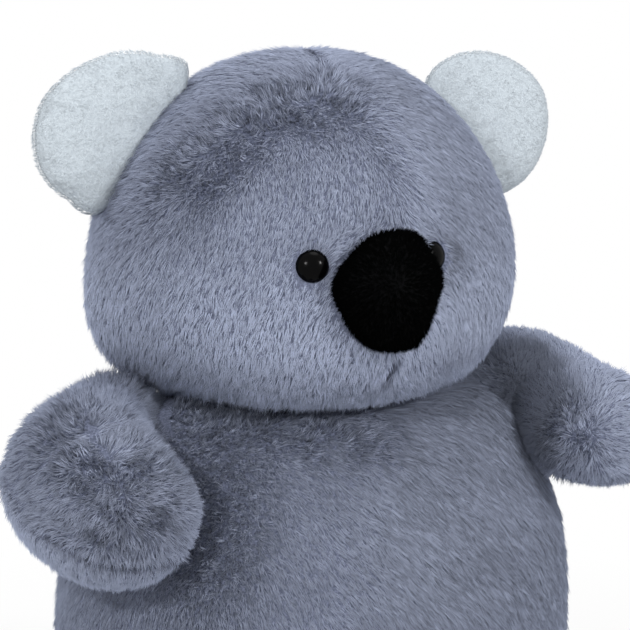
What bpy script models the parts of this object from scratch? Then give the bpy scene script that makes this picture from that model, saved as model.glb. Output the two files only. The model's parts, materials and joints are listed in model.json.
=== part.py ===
"""A sitting plush koala, in metres, +Z up, facing -Y, with its origin under the middle of its base.

Each stuffed form is a bag of pile fabric, open where it is sewn to its neighbour, round its own filling.
The right-hand pieces are the koala's own right, at -X.
"""

import math

import bmesh
import bpy
from mathutils import Matrix, Vector
from mathutils.bvhtree import BVHTree

# Fabric and sewing
COVER_THICKNESS = 0.009      # backing cloth and the pile that stands on it
SEAM_GAP = 0.0004            # between sewn pieces, and between a bag and its filling
SEAT_GAP = 0.0009            # round a ball that turns in its seat
REST_CLEARANCE = 0.0012      # between the pile of a limb and of what it rests against
CUT_OVERRUN = 0.02           # how far a cutter runs past what it cuts

# Torso: an upright bean, widest below its middle
TORSO_WIDTH = 0.263
TORSO_DEPTH = 0.210
TORSO_HEIGHT = 0.242
TORSO_FORWARD = 0.016        # of the middle of the base, where the belly hangs forward
BASE_PANEL_THICKNESS = 0.009
FLOOR_SINK = 0.0005          # what the floor flattens off the rounded forms
# height share, half-width share, half-depth share, forward share of the depth
TORSO_RING_SHARES = (
    (0.00, 0.66, 0.68, 0.03),
    (0.16, 0.98, 0.98, 0.05),
    (0.44, 1.02, 1.02, 0.06),
    (0.72, 0.97, 0.90, 0.02),
    (0.97, 0.66, 0.58, -0.02),
)

# Head: broad and low-cheeked, sunk into the top of the torso
HEAD_WIDTH = 0.218
HEAD_DEPTH = 0.178
HEAD_HEIGHT = 0.175
HEAD_LIFT = 0.225            # the lowest point of the head above the floor
HEAD_FORWARD = 0.002
MUZZLE_RISE = 0.010          # how far the snout swells out of the face
HEAD_RING_SHARES = (
    (0.02, 0.58, 0.60, 0.00),
    (0.15, 0.97, 0.97, 0.00),
    (0.43, 1.05, 1.05, 0.00),
    (0.74, 0.86, 0.87, 0.00),
    (0.95, 0.47, 0.48, 0.00),
)
HEAD_WIDEST_SHARE = 0.37
MUZZLE_HALF_ANGLE = math.radians(50)
MUZZLE_RING_SHARES = (0.4, 1.0, 0.5, 0.0, 0.0)
NECK_BALL_RADIUS = 0.034     # the firm wad of filling that the head turns and nods on
NECK_RISE = 0.002            # its centre above the lowest point of the head
NOD_CLEARANCE = 0.0045       # round the underside of the head

# Eyes: domed caps on ribbed stems, locked by a washer inside the face
EYE_RADIUS = 0.0078
EYE_DOME_HEIGHT = 0.0064
EYE_EDGE = 0.0010
EYE_SPREAD = 0.0675          # between the two eye centres
EYE_RISE = 0.0155            # above the widest level of the head
EYE_SINK = 0.0056            # seat below the tips of the pile
EYE_STEM_RADIUS = 0.0019
EYE_STEM_RIDGE = 0.0004
EYE_STEM_LENGTH = 0.0110
EYE_STEM_RIDGES = 2
EYE_WALL = 0.0024            # fabric held between the cap and the washer
WASHER_RADIUS = 0.0062
WASHER_COLLAR_RADIUS = 0.0034
WASHER_THICKNESS = 0.0012
WASHER_COLLAR_HEIGHT = 0.0014

# Nose: an egg-shaped pad of short black pile
NOSE_WIDTH = 0.0560
NOSE_HEIGHT = 0.0570
NOSE_PAD_DEPTH = 0.0340
NOSE_RISE = 0.0025           # above the widest level of the head
NOSE_COVER_THICKNESS = 0.0030
NOSE_RING_SHARES = (
    (0.08, 0.60, 0.62, 0.00),
    (0.34, 0.94, 0.96, 0.00),
    (0.64, 1.02, 1.02, 0.00),
    (0.91, 0.64, 0.64, 0.00),
)

# Ears: flat padded discs, a pale front panel sewn to a grey back panel
EAR_WIDTH = 0.083
EAR_HEIGHT = 0.055           # from the hinge line to the rim
EAR_THICKNESS = 0.021
EAR_COVER_THICKNESS = 0.005
EAR_PLACE = math.radians(35.8)  # of its seam above the level, seen from the middle of the head
EAR_LEAN = math.radians(32)  # of the ear's middle line above the level
EAR_TURN = math.radians(-4)  # of its face away from straight ahead
EAR_SET_BACK = 0.004
EAR_SINK = 0.004             # hinge line below the tips of the head's pile
EAR_ROOT_RADIUS = 0.0105
EAR_GROOVE_SHARE = 0.92      # of the ear's width
# along the ear from root to rim, half-width share, half-thickness share
EAR_RING_SHARES = (
    (-0.11, 0.82, 0.80),
    (0.04, 0.97, 0.92),
    (0.45, 1.04, 1.02),
    (0.90, 0.64, 0.78),
)

# Arms: stubby mitts that curl forward from the shoulder
SHOULDER_HEIGHT = 0.211
SHOULDER_FORWARD = 0.006
SHOULDER_BALL_RADIUS = 0.0365
SHOULDER_STAND = 0.008       # centre of the ball proud of the torso
ARM_REACH = 0.020            # outwards from the shoulder to the middle of the mitt
ARM_CURL = 0.084             # forwards from the shoulder to the tip of the mitt
ARM_DROP = 0.020             # down from the shoulder to the tip of the hanging mitt
ARM_RADIUS = 0.0436
# A toy's arms hang unlike: the right one droops, and the left one is raised and pressed flatter.
# outward share of the reach, forward share of the curl, down share of the drop, radius share
RIGHT_ARM_STATION_SHARES = (
    (-0.90, 0.00, -0.05, 0.84),
    (0.45, 0.13, -0.10, 0.89),
    (1.00, 0.41, 0.25, 0.98),
    (1.00, 0.71, 0.60, 1.01),
    (0.70, 0.98, 1.00, 0.86),
)
RIGHT_ARM_END_SHARES = ((-2.60, -0.02, 0.0), (0.45, 1.18, 1.25))
LEFT_ARM_STATION_SHARES = (
    (-0.50, 0.00, -0.55, 0.86),
    (0.55, 0.10, -0.60, 0.88),
    (1.30, 0.36, -0.30, 0.89),
    (1.40, 0.66, 0.10, 0.89),
    (1.05, 0.92, 0.35, 0.78),
)
LEFT_ARM_END_SHARES = ((-1.90, -0.02, -0.30), (0.75, 1.10, 0.52))
RIGHT_ARM_FLAT_SHARE, LEFT_ARM_FLAT_SHARE = 1.0, 0.82  # of a section's height in its width

# Legs: stubby, resting on the floor, soles to the front
HIP_HEIGHT = 0.044
HIP_BALL_RADIUS = 0.037
HIP_STAND = 0.009
LEG_SPLAY = math.radians(27)
LEG_LENGTH = 0.080           # from the hip's centre to the front of the foot
LEG_RADIUS = 0.041
SOLE_THICKNESS = 0.009
# along share of the length, radius share
LEG_STATION_SHARES = (
    (-0.10, 0.94),
    (0.24, 0.98),
    (0.50, 1.02),
    (0.76, 1.10),
    (0.94, 0.98),
)
LEG_ROOT_SHARE = -0.55
LEG_TIP_SHARE = 1.04

# Fineness of the forms
BODY_SIDES = 12
BODY_BAG_SIDES = 8
LIMB_SIDES = 8
LIMB_BAG_SIDES = 6
BALL_STEPS = 20
TURNED_STEPS = 20
DOME_STEPS = 4
HOLE_STEPS = 12

GREY_PILE = ("grey_pile", (0.200, 0.222, 0.300), 0.95)
PALE_PILE = ("pale_pile", (0.560, 0.620, 0.660), 0.95)
BLACK_PILE = ("black_pile", (0.004, 0.004, 0.005), 0.95)
BLACK_EYE = ("black_eye", (0.004, 0.004, 0.005), 0.08)
FIBRE = ("polyester_fibre", (0.820, 0.820, 0.800), 1.00)
WASHER = ("white_nylon", (0.780, 0.780, 0.760), 0.45)

X_AXIS = Vector((1, 0, 0))
Z_AXIS = Vector((0, 0, 1))
FORWARD = Vector((0, -1, 0))
SIDES = (("right", -1), ("left", 1))
ARMS = (
    (RIGHT_ARM_STATION_SHARES, RIGHT_ARM_END_SHARES, RIGHT_ARM_FLAT_SHARE),
    (LEFT_ARM_STATION_SHARES, LEFT_ARM_END_SHARES, LEFT_ARM_FLAT_SHARE),
)


def start_scene():
    """Empties the scene and makes one collection for the pieces and one for the cutters."""
    for old in list(bpy.data.objects):
        bpy.data.objects.remove(old)
    made = []
    for name in ("plush_koala", "cutters"):
        collection = bpy.data.collections.new(name)
        bpy.context.scene.collection.children.link(collection)
        made.append(collection)
    return made


PIECES, CUTTERS = start_scene()


def material(finish):
    """The named finish as a Principled material, made once."""
    name, colour, roughness = finish
    found = bpy.data.materials.get(name)
    if found:
        return found
    made = bpy.data.materials.new(name)
    made.use_nodes = True
    shader = made.node_tree.nodes["Principled BSDF"]
    shader.inputs["Base Color"].default_value = (*colour, 1)
    shader.inputs["Roughness"].default_value = roughness
    return made


def piece(name, bm, finish=None, pivot=None):
    """An object from a bmesh: a piece of the toy with its finish, or without one a hidden cutter.

    A pivot is where the object's origin goes.
    """
    bm.normal_update()
    bmesh.ops.recalc_face_normals(bm, faces=bm.faces)
    if pivot:
        bmesh.ops.translate(bm, verts=bm.verts, vec=-pivot)
    mesh = bpy.data.meshes.new(name)
    bm.to_mesh(mesh)
    bm.free()
    mesh.shade_smooth()
    made = bpy.data.objects.new(name, mesh)
    if pivot:
        made.location = pivot
    if finish:
        mesh.materials.append(material(finish))
        PIECES.objects.link(made)
    else:
        CUTTERS.objects.link(made)
        made.hide_render = True
        made.display_type = "WIRE"
    return made


def smooth(form):
    """Rounds a coarse cage, and splits its faces alike in every form made from the same cage."""
    modifier = form.modifiers.new("stuffed", "SUBSURF")
    modifier.levels = modifier.render_levels = 1
    form.modifiers.new("flat_faces", "TRIANGULATE").quad_method = "FIXED"
    return form


def cut(form, cutters):
    """Cuts each of the cutters from the form."""
    for cutter in cutters:
        modifier = form.modifiers.new(cutter.name, "BOOLEAN")
        modifier.operation = "DIFFERENCE"
        modifier.object = cutter
    return form


def rounded_mesh(form):
    """The form in world space as its modifiers leave it, as a new bmesh."""
    bpy.context.view_layer.update()
    made = bmesh.new()
    made.from_object(form, bpy.context.evaluated_depsgraph_get())
    made.transform(form.matrix_world)
    return made


def on_surface(form, start, direction):
    """Where a line from inside the form leaves it, and the outward normal there."""
    bm = rounded_mesh(form)
    tree = BVHTree.FromBMesh(bm)
    bm.free()
    place, normal, _, _ = tree.ray_cast(start, direction)
    return place, normal


def ring_cage(rings, start, end, sides):
    """A closed cage through rings of (centre, half-axis, half-axis), with a pole at each end.

    A ring of control points lies outside the round that it makes, by the share that swell undoes.
    """
    swell = 6 / (4 + 2 * math.cos(2 * math.pi / sides))
    bm = bmesh.new()
    loops = []
    for centre, across, up in rings:
        turns = [2 * math.pi * i / sides for i in range(sides)]
        points = [centre + swell * (across * math.sin(t) + up * math.cos(t)) for t in turns]
        loops.append([bm.verts.new(point) for point in points])
    for low, high in zip(loops, loops[1:]):
        for i in range(sides):
            j = (i + 1) % sides
            bm.faces.new((low[i], low[j], high[j], high[i]))
    for loop, pole in ((loops[0], start), (loops[-1], end)):
        tip = bm.verts.new(pole)
        for i in range(sides):
            bm.faces.new((loop[i], loop[(i + 1) % sides], tip))
    return bm


def upright_form(name, ring_shares, size, foot, sides, finish=None):
    """A form of level rings that just fills a box of this size standing on the point foot."""
    width, depth, height = size
    rings = [
        (
            foot + FORWARD * forward * depth + Z_AXIS * high * height,
            X_AXIS * across * width / 2,
            FORWARD * deep * depth / 2,
        )
        for high, across, deep, forward in ring_shares
    ]
    cage = ring_cage(rings, foot, foot + Z_AXIS * height, sides)
    form = smooth(piece(name, cage, finish))
    fill_box(form, size, foot)
    return form


def fill_box(form, size, foot):
    """Stretches the cage until the smooth form just fills the box of this size above foot."""
    bm = rounded_mesh(form)
    low = [min(v.co[k] for v in bm.verts) for k in range(3)]
    high = [max(v.co[k] for v in bm.verts) for k in range(3)]
    bm.free()
    base = (foot.x - size[0] / 2, foot.y - size[1] / 2, foot.z)
    for vertex in form.data.vertices:
        for k in range(3):
            share = (vertex.co[k] - low[k]) / (high[k] - low[k])
            vertex.co[k] = base[k] + share * size[k]


def limb_form(name, stations, root, tip, sides, inset=0, finish=None, pivot=None, flat=1):
    """A form round a bent centre line of (point, radius), drawn in all over by the inset.

    A section's height is the flat share of its width.
    """
    points = [point for point, _ in stations]
    ends = [root, *points, tip]
    rings = []
    for index, (point, radius) in enumerate(stations):
        along = (ends[index + 2] - ends[index]).normalized()
        across = along.cross(Z_AXIS).normalized()
        up = across.cross(along)
        rings.append((point, across * (radius - inset), up * (radius * flat - inset)))
    end = tip + (points[-1] - tip).normalized() * inset
    return smooth(piece(name, ring_cage(rings, root, end, sides), finish, pivot))


def ball(name, centre, radius, finish=None):
    """A sphere."""
    bm = bmesh.new()
    bmesh.ops.create_uvsphere(bm, u_segments=BALL_STEPS, v_segments=BALL_STEPS // 2, radius=radius)
    bmesh.ops.translate(bm, verts=bm.verts, vec=centre)
    return piece(name, bm, finish, centre)


def rod(name, start, end, radius, steps):
    """A cylinder between two points."""
    bm = bmesh.new()
    length = (end - start).length
    bmesh.ops.create_cone(
        bm, cap_ends=True, segments=steps, radius1=radius, radius2=radius, depth=length
    )
    turn = (end - start).to_track_quat("Z", "Y").to_matrix().to_4x4()
    bm.transform(Matrix.Translation((start + end) / 2) @ turn)
    return piece(name, bm)


def block_beyond(name, place, facing, reach):
    """A cube of half-side reach that starts at a place and fills what lies beyond it."""
    bm = bmesh.new()
    bmesh.ops.create_cube(bm, size=2 * reach)
    turn = facing.to_track_quat("Z", "Y").to_matrix().to_4x4()
    bm.transform(Matrix.Translation(place + facing * reach) @ turn)
    return piece(name, bm)


def turned(name, profile, centre, facing, finish):
    """A solid of revolution from an outline of (radius, height) that runs down its outer side."""
    bm = bmesh.new()
    points = [bm.verts.new((radius, 0, height)) for radius, height in profile]
    for first, second in zip(points, points[1:]):
        bm.edges.new((first, second))
    mesh = bpy.data.meshes.new(name)
    bm.to_mesh(mesh)
    bm.free()
    mesh.materials.append(material(finish))
    made = bpy.data.objects.new(name, mesh)
    PIECES.objects.link(made)
    screw = made.modifiers.new("turned", "SCREW")
    screw.steps = screw.render_steps = TURNED_STEPS
    screw.use_merge_vertices = True
    screw.merge_threshold = EYE_STEM_RIDGE / 10
    screw.use_smooth_shade = True
    made.location = centre
    made.rotation_euler = facing.to_track_quat("Z", "Y").to_euler()
    return made


def grown(size, by):
    """A box's size with this much added on every side."""
    return tuple(length + 2 * by for length in size)


def torso_form(name, inset, sides=BODY_SIDES, finish=None):
    """The torso's outer form, drawn in all over by the inset."""
    size = (TORSO_WIDTH, TORSO_DEPTH, TORSO_HEIGHT + FLOOR_SINK)
    foot = FORWARD * TORSO_FORWARD + Z_AXIS * (inset - FLOOR_SINK)
    return upright_form(name, TORSO_RING_SHARES, grown(size, -inset), foot, sides, finish)


HEAD_FOOT = FORWARD * HEAD_FORWARD + Z_AXIS * HEAD_LIFT
HEAD_CENTRE = HEAD_FOOT + Z_AXIS * HEAD_WIDEST_SHARE * HEAD_HEIGHT
NECK_CENTRE = HEAD_FOOT + Z_AXIS * NECK_RISE


def head_form(name, inset, sides=BODY_SIDES, finish=None):
    """The head's outer form with its snout, drawn in all over by the inset."""
    size = grown((HEAD_WIDTH, HEAD_DEPTH, HEAD_HEIGHT), -inset)
    foot = HEAD_FOOT + Z_AXIS * inset
    form = upright_form(name, HEAD_RING_SHARES, size, foot, sides, finish)
    for index, share in enumerate(MUZZLE_RING_SHARES):
        for i in range(sides):
            turn = math.pi - abs(math.pi - 2 * math.pi * i / sides)
            swell = math.cos(min(turn / MUZZLE_HALF_ANGLE, 1) * math.pi / 2)
            form.data.vertices[index * sides + i].co += FORWARD * MUZZLE_RISE * share * swell
    return form


def head_space_form():
    """The round space that the head turns and nods in: its own outline, as deep as it is wide."""
    across = HEAD_WIDTH + 2 * NOD_CLEARANCE
    size = (across, across, HEAD_HEIGHT + 2 * NOD_CLEARANCE)
    foot = HEAD_FOOT - Z_AXIS * NOD_CLEARANCE
    return upright_form("head_space", HEAD_RING_SHARES, size, foot, BODY_SIDES)


def make_limb(name, pivot, stations, root, tip, room, flat=1):
    """The bag of a limb, open at its round root, and the filling in it, both cut by what they touch."""
    through = root + (root - pivot).normalized() * CUT_OVERRUN
    inner = COVER_THICKNESS + SEAM_GAP
    cover = limb_form(name + "_cover", stations, root, tip, LIMB_SIDES, 0, GREY_PILE, pivot, flat)
    bag = limb_form(name + "_bag", stations, through, tip, LIMB_BAG_SIDES, COVER_THICKNESS, flat=flat)
    filling = limb_form(name + "_filling", stations, through, tip, LIMB_BAG_SIDES, inner, FIBRE, pivot, flat)
    cut(cover, [bag, *room])
    cut(filling, room)
    return cover, filling


def limb_room(name, seats):
    """The torso with its clearance, less the round roots that reach into it, to cut the limbs with."""
    roots = [ball(f"{name}_{i}", centre, radius) for i, (centre, radius) in enumerate(seats)]
    return cut(torso_form(name, -REST_CLEARANCE), roots)


def shoulder(torso, sign):
    """The centre of a shoulder's ball."""
    start = FORWARD * SHOULDER_FORWARD + Z_AXIS * SHOULDER_HEIGHT
    place, _ = on_surface(torso, start, X_AXIS * sign)
    return place + X_AXIS * sign * SHOULDER_STAND


def make_arms(torso, head_space):
    """Both arms. Returns the centre and radius of each shoulder's ball."""
    seats = [(shoulder(torso, sign), SHOULDER_BALL_RADIUS) for _, sign in SIDES]
    room = [limb_room("arm_room", seats), head_space]
    for (side, sign), (station_shares, end_shares, flat), (centre, _) in zip(SIDES, ARMS, seats):

        def place(out, forward, down):
            reach = X_AXIS * sign * out * ARM_REACH
            return centre + reach + FORWARD * forward * ARM_CURL - Z_AXIS * down * ARM_DROP

        stations = [(place(*shares), share * ARM_RADIUS) for *shares, share in station_shares]
        root, tip = (place(*shares) for shares in end_shares)
        make_limb(side + "_arm", centre, stations, root, tip, room, flat)
    return seats


def leg_direction(sign):
    """The level direction that a leg points in."""
    return X_AXIS * sign * math.sin(LEG_SPLAY) + FORWARD * math.cos(LEG_SPLAY)


def hip(torso, sign):
    """The centre of a hip's ball."""
    along = leg_direction(sign)
    place, _ = on_surface(torso, Z_AXIS * HIP_HEIGHT, along)
    return place + along * HIP_STAND


def make_legs(torso, floor):
    """Both legs, each closed at the front by its sole panel. Returns each hip's centre and radius."""
    seats = [(hip(torso, sign), HIP_BALL_RADIUS) for _, sign in SIDES]
    room = [limb_room("leg_room", seats), floor]
    for (side, sign), (centre, _) in zip(SIDES, seats):
        along = leg_direction(sign)

        def place(share, radius):
            level = Vector((centre.x, centre.y, radius - FLOOR_SINK))
            return level + along * share * LEG_LENGTH

        radii = [(share, width * LEG_RADIUS) for share, width in LEG_STATION_SHARES]
        stations = [(place(share, radius), radius) for share, radius in radii]
        root = place(LEG_ROOT_SHARE, radii[0][1])
        tip = place(LEG_TIP_SHARE, radii[-1][1])
        seam = centre + along * (LEG_LENGTH - SOLE_THICKNESS)
        reach = 2 * LEG_RADIUS
        front = block_beyond(side + "_foot_front", seam, along, reach)
        back = block_beyond(side + "_foot_back", seam + along * SEAM_GAP, -along, reach)
        inner = block_beyond(side + "_foot_inner", seam - along * SEAM_GAP, along, reach)
        cover, filling = make_limb(side + "_leg", centre, stations, root, tip, room)
        cut(cover, [front])
        cut(filling, [inner])
        sole = limb_form(side + "_sole", stations, root, tip, LIMB_SIDES, 0, GREY_PILE, centre)
        cut(sole, [back, floor])
    return seats


def make_torso(floor, head_space, neck, seats):
    """The torso's bag, its base panel and its filling, with the seats of the head and the limbs."""
    sockets = [
        ball(f"socket_{i}", centre, radius + SEAT_GAP) for i, (centre, radius) in enumerate(seats)
    ]
    seam = Z_AXIS * BASE_PANEL_THICKNESS
    reach = TORSO_WIDTH
    below = block_beyond("below_base_seam", seam, -Z_AXIS, reach)
    above = block_beyond("above_base_panel", seam - Z_AXIS * SEAM_GAP, Z_AXIS, reach)
    under = block_beyond("under_torso_filling", seam + Z_AXIS * SEAM_GAP, -Z_AXIS, reach)
    bag = torso_form("torso_bag", COVER_THICKNESS, BODY_BAG_SIDES)
    cover = torso_form("torso_cover", 0, BODY_SIDES, GREY_PILE)
    cut(cover, [bag, below, head_space, neck, *sockets])
    cut(torso_form("base_panel", 0, BODY_SIDES, GREY_PILE), [above, floor, *sockets])
    filling = torso_form("torso_filling", COVER_THICKNESS + SEAM_GAP, BODY_BAG_SIDES, FIBRE)
    cut(filling, [under, head_space, neck, *sockets])


def stem_profile():
    """The outline of an eye's stem, from the cap down, with a ridge at each step of its pitch."""
    outline = [(EYE_STEM_RADIUS, 0)]
    pitch = EYE_STEM_LENGTH / (EYE_STEM_RIDGES + 1)
    for i in range(1, EYE_STEM_RIDGES + 1):
        outline += [
            (EYE_STEM_RADIUS, -pitch * i),
            (EYE_STEM_RADIUS + EYE_STEM_RIDGE, -pitch * i - EYE_STEM_RIDGE),
            (EYE_STEM_RADIUS, -pitch * i - 2 * EYE_STEM_RIDGE),
        ]
    outline += [(EYE_STEM_RADIUS, EYE_STEM_RIDGE - EYE_STEM_LENGTH)]
    return outline + [(EYE_STEM_RADIUS - EYE_STEM_RIDGE, -EYE_STEM_LENGTH), (0, -EYE_STEM_LENGTH)]


def dome_profile():
    """The outline of an eye's cap: a quarter ellipse on a thin straight edge."""
    turns = [math.pi / 2 * i / DOME_STEPS for i in range(DOME_STEPS + 1)]
    rise = EYE_DOME_HEIGHT - EYE_EDGE
    return [(EYE_RADIUS * math.sin(t), EYE_EDGE + rise * math.cos(t)) for t in turns] + [(EYE_RADIUS, 0)]


def washer_profile(bore_radius):
    """The outline of a lock washer: a flat ring with a collar behind it."""
    low = -WASHER_THICKNESS - WASHER_COLLAR_HEIGHT
    return (
        (bore_radius, 0),
        (WASHER_RADIUS, 0),
        (WASHER_RADIUS, -WASHER_THICKNESS),
        (WASHER_COLLAR_RADIUS, -WASHER_THICKNESS),
        (WASHER_COLLAR_RADIUS, low),
        (bore_radius, low),
        (bore_radius, 0),
    )


def make_eyes(face):
    """Both eyes with their washers. Returns the cutters of the head's cover and of its filling."""
    cover_cuts = []
    filling_cuts = []
    bore_radius = EYE_STEM_RADIUS + EYE_STEM_RIDGE + SEAM_GAP
    for side, sign in SIDES:
        start = HEAD_CENTRE + X_AXIS * sign * EYE_SPREAD / 2 + Z_AXIS * EYE_RISE
        place, normal = on_surface(face, start, FORWARD)
        seat = place - normal * EYE_SINK
        inner = seat - normal * EYE_WALL
        deep = seat - normal * (EYE_STEM_LENGTH + SEAM_GAP)
        turned(side + "_eye", dome_profile() + stem_profile(), seat + normal * SEAM_GAP, normal, BLACK_EYE)
        turned(
            side + "_eye_washer", washer_profile(bore_radius), inner - normal * SEAM_GAP, normal, WASHER
        )
        front = place + normal * CUT_OVERRUN
        recess = rod(side + "_eye_recess", seat, front, EYE_RADIUS + SEAM_GAP, TURNED_STEPS)
        bore = rod(side + "_eye_bore", inner - normal * SEAM_GAP, place, bore_radius, HOLE_STEPS)
        pocket = rod(side + "_washer_pocket", deep, inner, WASHER_RADIUS + SEAM_GAP, HOLE_STEPS)
        cover_cuts += [recess, bore, pocket]
        filling_cuts += [pocket]
    return cover_cuts, filling_cuts


def nose_form(name, foot, inset, finish=None):
    """The whole egg of the nose, drawn in all over by the inset."""
    size = grown((NOSE_WIDTH, NOSE_PAD_DEPTH, NOSE_HEIGHT), -inset)
    return upright_form(name, NOSE_RING_SHARES, size, foot + Z_AXIS * inset, LIMB_SIDES, finish)


def make_nose(face):
    """The nose: the front of an egg, a bag of short pile sewn to the face, and its own filling."""
    place, _ = on_surface(face, HEAD_CENTRE + Z_AXIS * NOSE_RISE, FORWARD)
    foot = place - Z_AXIS * NOSE_HEIGHT / 2
    behind = head_form("face_behind_nose", -SEAM_GAP)
    bag = nose_form("nose_bag", foot, NOSE_COVER_THICKNESS)
    cut(nose_form("nose_cover", foot, 0, BLACK_PILE), [bag, behind])
    filling = nose_form("nose_filling", foot, NOSE_COVER_THICKNESS + SEAM_GAP, FIBRE)
    cut(filling, [behind])


def ear_form(name, axes, inset, finish=None):
    """The whole ear from (hinge point, along, across, face), drawn in all over by the inset."""
    hinge, along, across, face = axes
    rings = [
        (
            hinge + along * share * EAR_HEIGHT,
            across * (wide * EAR_WIDTH / 2 - inset),
            face * (thick * EAR_THICKNESS / 2 - inset),
        )
        for share, wide, thick in EAR_RING_SHARES
    ]
    root = hinge - along * (EAR_ROOT_RADIUS - inset)
    rim = hinge + along * (EAR_HEIGHT - inset)
    sides = LIMB_SIDES if inset == 0 else LIMB_BAG_SIDES
    return smooth(piece(name, ring_cage(rings, root, rim, sides), finish, hinge))


def make_ears(head):
    """Both ears, each folded about its own seam. Returns the cutters of their grooves in the head."""
    grooves = []
    for side, sign in SIDES:
        toward = X_AXIS * sign * math.cos(EAR_PLACE) + Z_AXIS * math.sin(EAR_PLACE)
        place, _ = on_surface(head, HEAD_CENTRE - FORWARD * EAR_SET_BACK, toward)
        turn = Matrix.Rotation(sign * EAR_TURN, 3, "Z")
        along = turn @ (X_AXIS * sign * math.cos(EAR_LEAN) + Z_AXIS * math.sin(EAR_LEAN))
        face = turn @ FORWARD
        across = along.cross(face)
        hinge = place - toward * EAR_SINK
        axes = (hinge, along, across, face)
        bag = ear_form(side + "_ear_bag", axes, EAR_COVER_THICKNESS)
        halves = (("front", face, PALE_PILE), ("back", -face, GREY_PILE))
        for half, way, finish in halves:
            panel = ear_form(f"{side}_ear_{half}", axes, 0, finish)
            seam = hinge + way * SEAM_GAP / 2
            cut(panel, [bag, block_beyond(f"{side}_ear_{half}_seam", seam, -way, EAR_WIDTH)])
        ear_form(side + "_ear_wadding", axes, EAR_COVER_THICKNESS + SEAM_GAP, FIBRE)
        end = across * EAR_GROOVE_SHARE * EAR_WIDTH / 2
        radius = EAR_ROOT_RADIUS + SEAT_GAP
        grooves.append(rod(side + "_ear_groove", hinge - end, hinge + end, radius, TURNED_STEPS))
    return grooves


def make_head(neck, ear_grooves, eye_cuts, pocket_cuts):
    """The head's bag, open at the neck, and its filling."""
    bag = head_form("head_bag", COVER_THICKNESS, BODY_BAG_SIDES)
    cut(head_form("head_cover", 0, BODY_SIDES, GREY_PILE), [bag, neck, *ear_grooves, *eye_cuts])
    filling = head_form("head_filling", COVER_THICKNESS + SEAM_GAP, BODY_BAG_SIDES, FIBRE)
    cut(filling, [neck, *ear_grooves, *pocket_cuts])


def main():
    floor = block_beyond("floor", Vector(), -Z_AXIS, 2 * TORSO_WIDTH)
    torso = torso_form("torso_form", 0)
    head = head_form("head_form", 0)
    head_space = head_space_form()
    ball("neck_filling", NECK_CENTRE, NECK_BALL_RADIUS, FIBRE)
    neck = ball("neck_seat", NECK_CENTRE, NECK_BALL_RADIUS + SEAT_GAP)
    seats = make_arms(torso, head_space) + make_legs(torso, floor)
    make_torso(floor, head_space, neck, seats)
    make_nose(head)
    eye_cuts, pocket_cuts = make_eyes(head)
    make_head(neck, make_ears(head), eye_cuts, pocket_cuts)


main()
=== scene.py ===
"""A sitting plush koala in long grey pile, with padded ears, domed eyes and a short-pile nose.

Metres, +Z up, the koala faces -Y and its own right side is at -X. Every form is a function place(turn, rise):
turn runs once round it, from the front, and rise runs from its first pole to its last. A nap is a function of
points and normals: the way that the pile lies, how far it stands up (or is sleek, below zero), its length as a
share, and its tone, darker below zero. That tone carries painted light and shade as well as the pile's own
unevenness.
"""

import json
import math

import bpy
import numpy as np
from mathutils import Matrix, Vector


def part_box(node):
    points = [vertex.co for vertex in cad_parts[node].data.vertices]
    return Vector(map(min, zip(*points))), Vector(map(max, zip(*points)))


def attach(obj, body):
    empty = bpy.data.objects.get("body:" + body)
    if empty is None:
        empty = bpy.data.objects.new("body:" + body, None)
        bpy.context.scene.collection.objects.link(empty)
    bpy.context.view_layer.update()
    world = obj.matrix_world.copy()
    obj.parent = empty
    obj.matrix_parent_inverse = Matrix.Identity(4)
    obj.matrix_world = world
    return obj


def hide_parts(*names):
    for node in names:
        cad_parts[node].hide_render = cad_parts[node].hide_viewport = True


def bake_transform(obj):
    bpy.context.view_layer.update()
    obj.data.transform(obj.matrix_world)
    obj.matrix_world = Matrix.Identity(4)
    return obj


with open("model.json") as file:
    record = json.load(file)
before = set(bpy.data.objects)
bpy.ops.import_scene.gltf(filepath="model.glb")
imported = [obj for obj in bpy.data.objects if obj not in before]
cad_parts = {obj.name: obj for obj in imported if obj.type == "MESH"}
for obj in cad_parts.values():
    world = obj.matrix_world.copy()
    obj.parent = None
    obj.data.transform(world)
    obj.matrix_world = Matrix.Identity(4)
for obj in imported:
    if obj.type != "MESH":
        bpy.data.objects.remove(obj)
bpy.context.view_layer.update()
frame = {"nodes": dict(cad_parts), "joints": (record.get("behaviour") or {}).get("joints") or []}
PIVOTS = {joint["name"]: np.array(joint["pos_m"]) for joint in frame["joints"]}

MM = 0.001
X, Z, FORWARD = np.array([1.0, 0, 0]), np.array([0, 0, 1.0]), np.array([0, -1.0, 0])
SIDES = (("right", -1), ("left", 1))


def in_mm(*values):
    """Places that are given in millimetres, as an array in metres."""
    return np.array(values) * MM


# Forms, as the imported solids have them: rings are shares of height, half-width, half-depth and forward shift

TORSO_SIZE, TORSO_FOOT = (0.263, 0.210, 0.2425), (0, -0.016, -0.0005)
TORSO_RINGS = (
    (0.00, 0.66, 0.68, 0.03),
    (0.16, 0.98, 0.98, 0.05),
    (0.44, 1.02, 1.02, 0.06),
    (0.72, 0.97, 0.90, 0.02),
    (0.97, 0.66, 0.58, -0.02),
)
HEAD_SIZE, HEAD_FOOT = (0.218, 0.178, 0.175), (0, -0.002, 0.225)
HEAD_RINGS = (
    (0.02, 0.58, 0.60, 0.00),
    (0.15, 0.97, 0.97, 0.00),
    (0.43, 1.05, 1.05, 0.00),
    (0.74, 0.86, 0.87, 0.00),
    (0.95, 0.47, 0.48, 0.00),
)
MUZZLE_RISE, MUZZLE_HALF_TURN = 0.0086, 0.75
MUZZLE_SHARES = (0, 0.4, 1.0, 0.5, 0, 0, 0)

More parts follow.
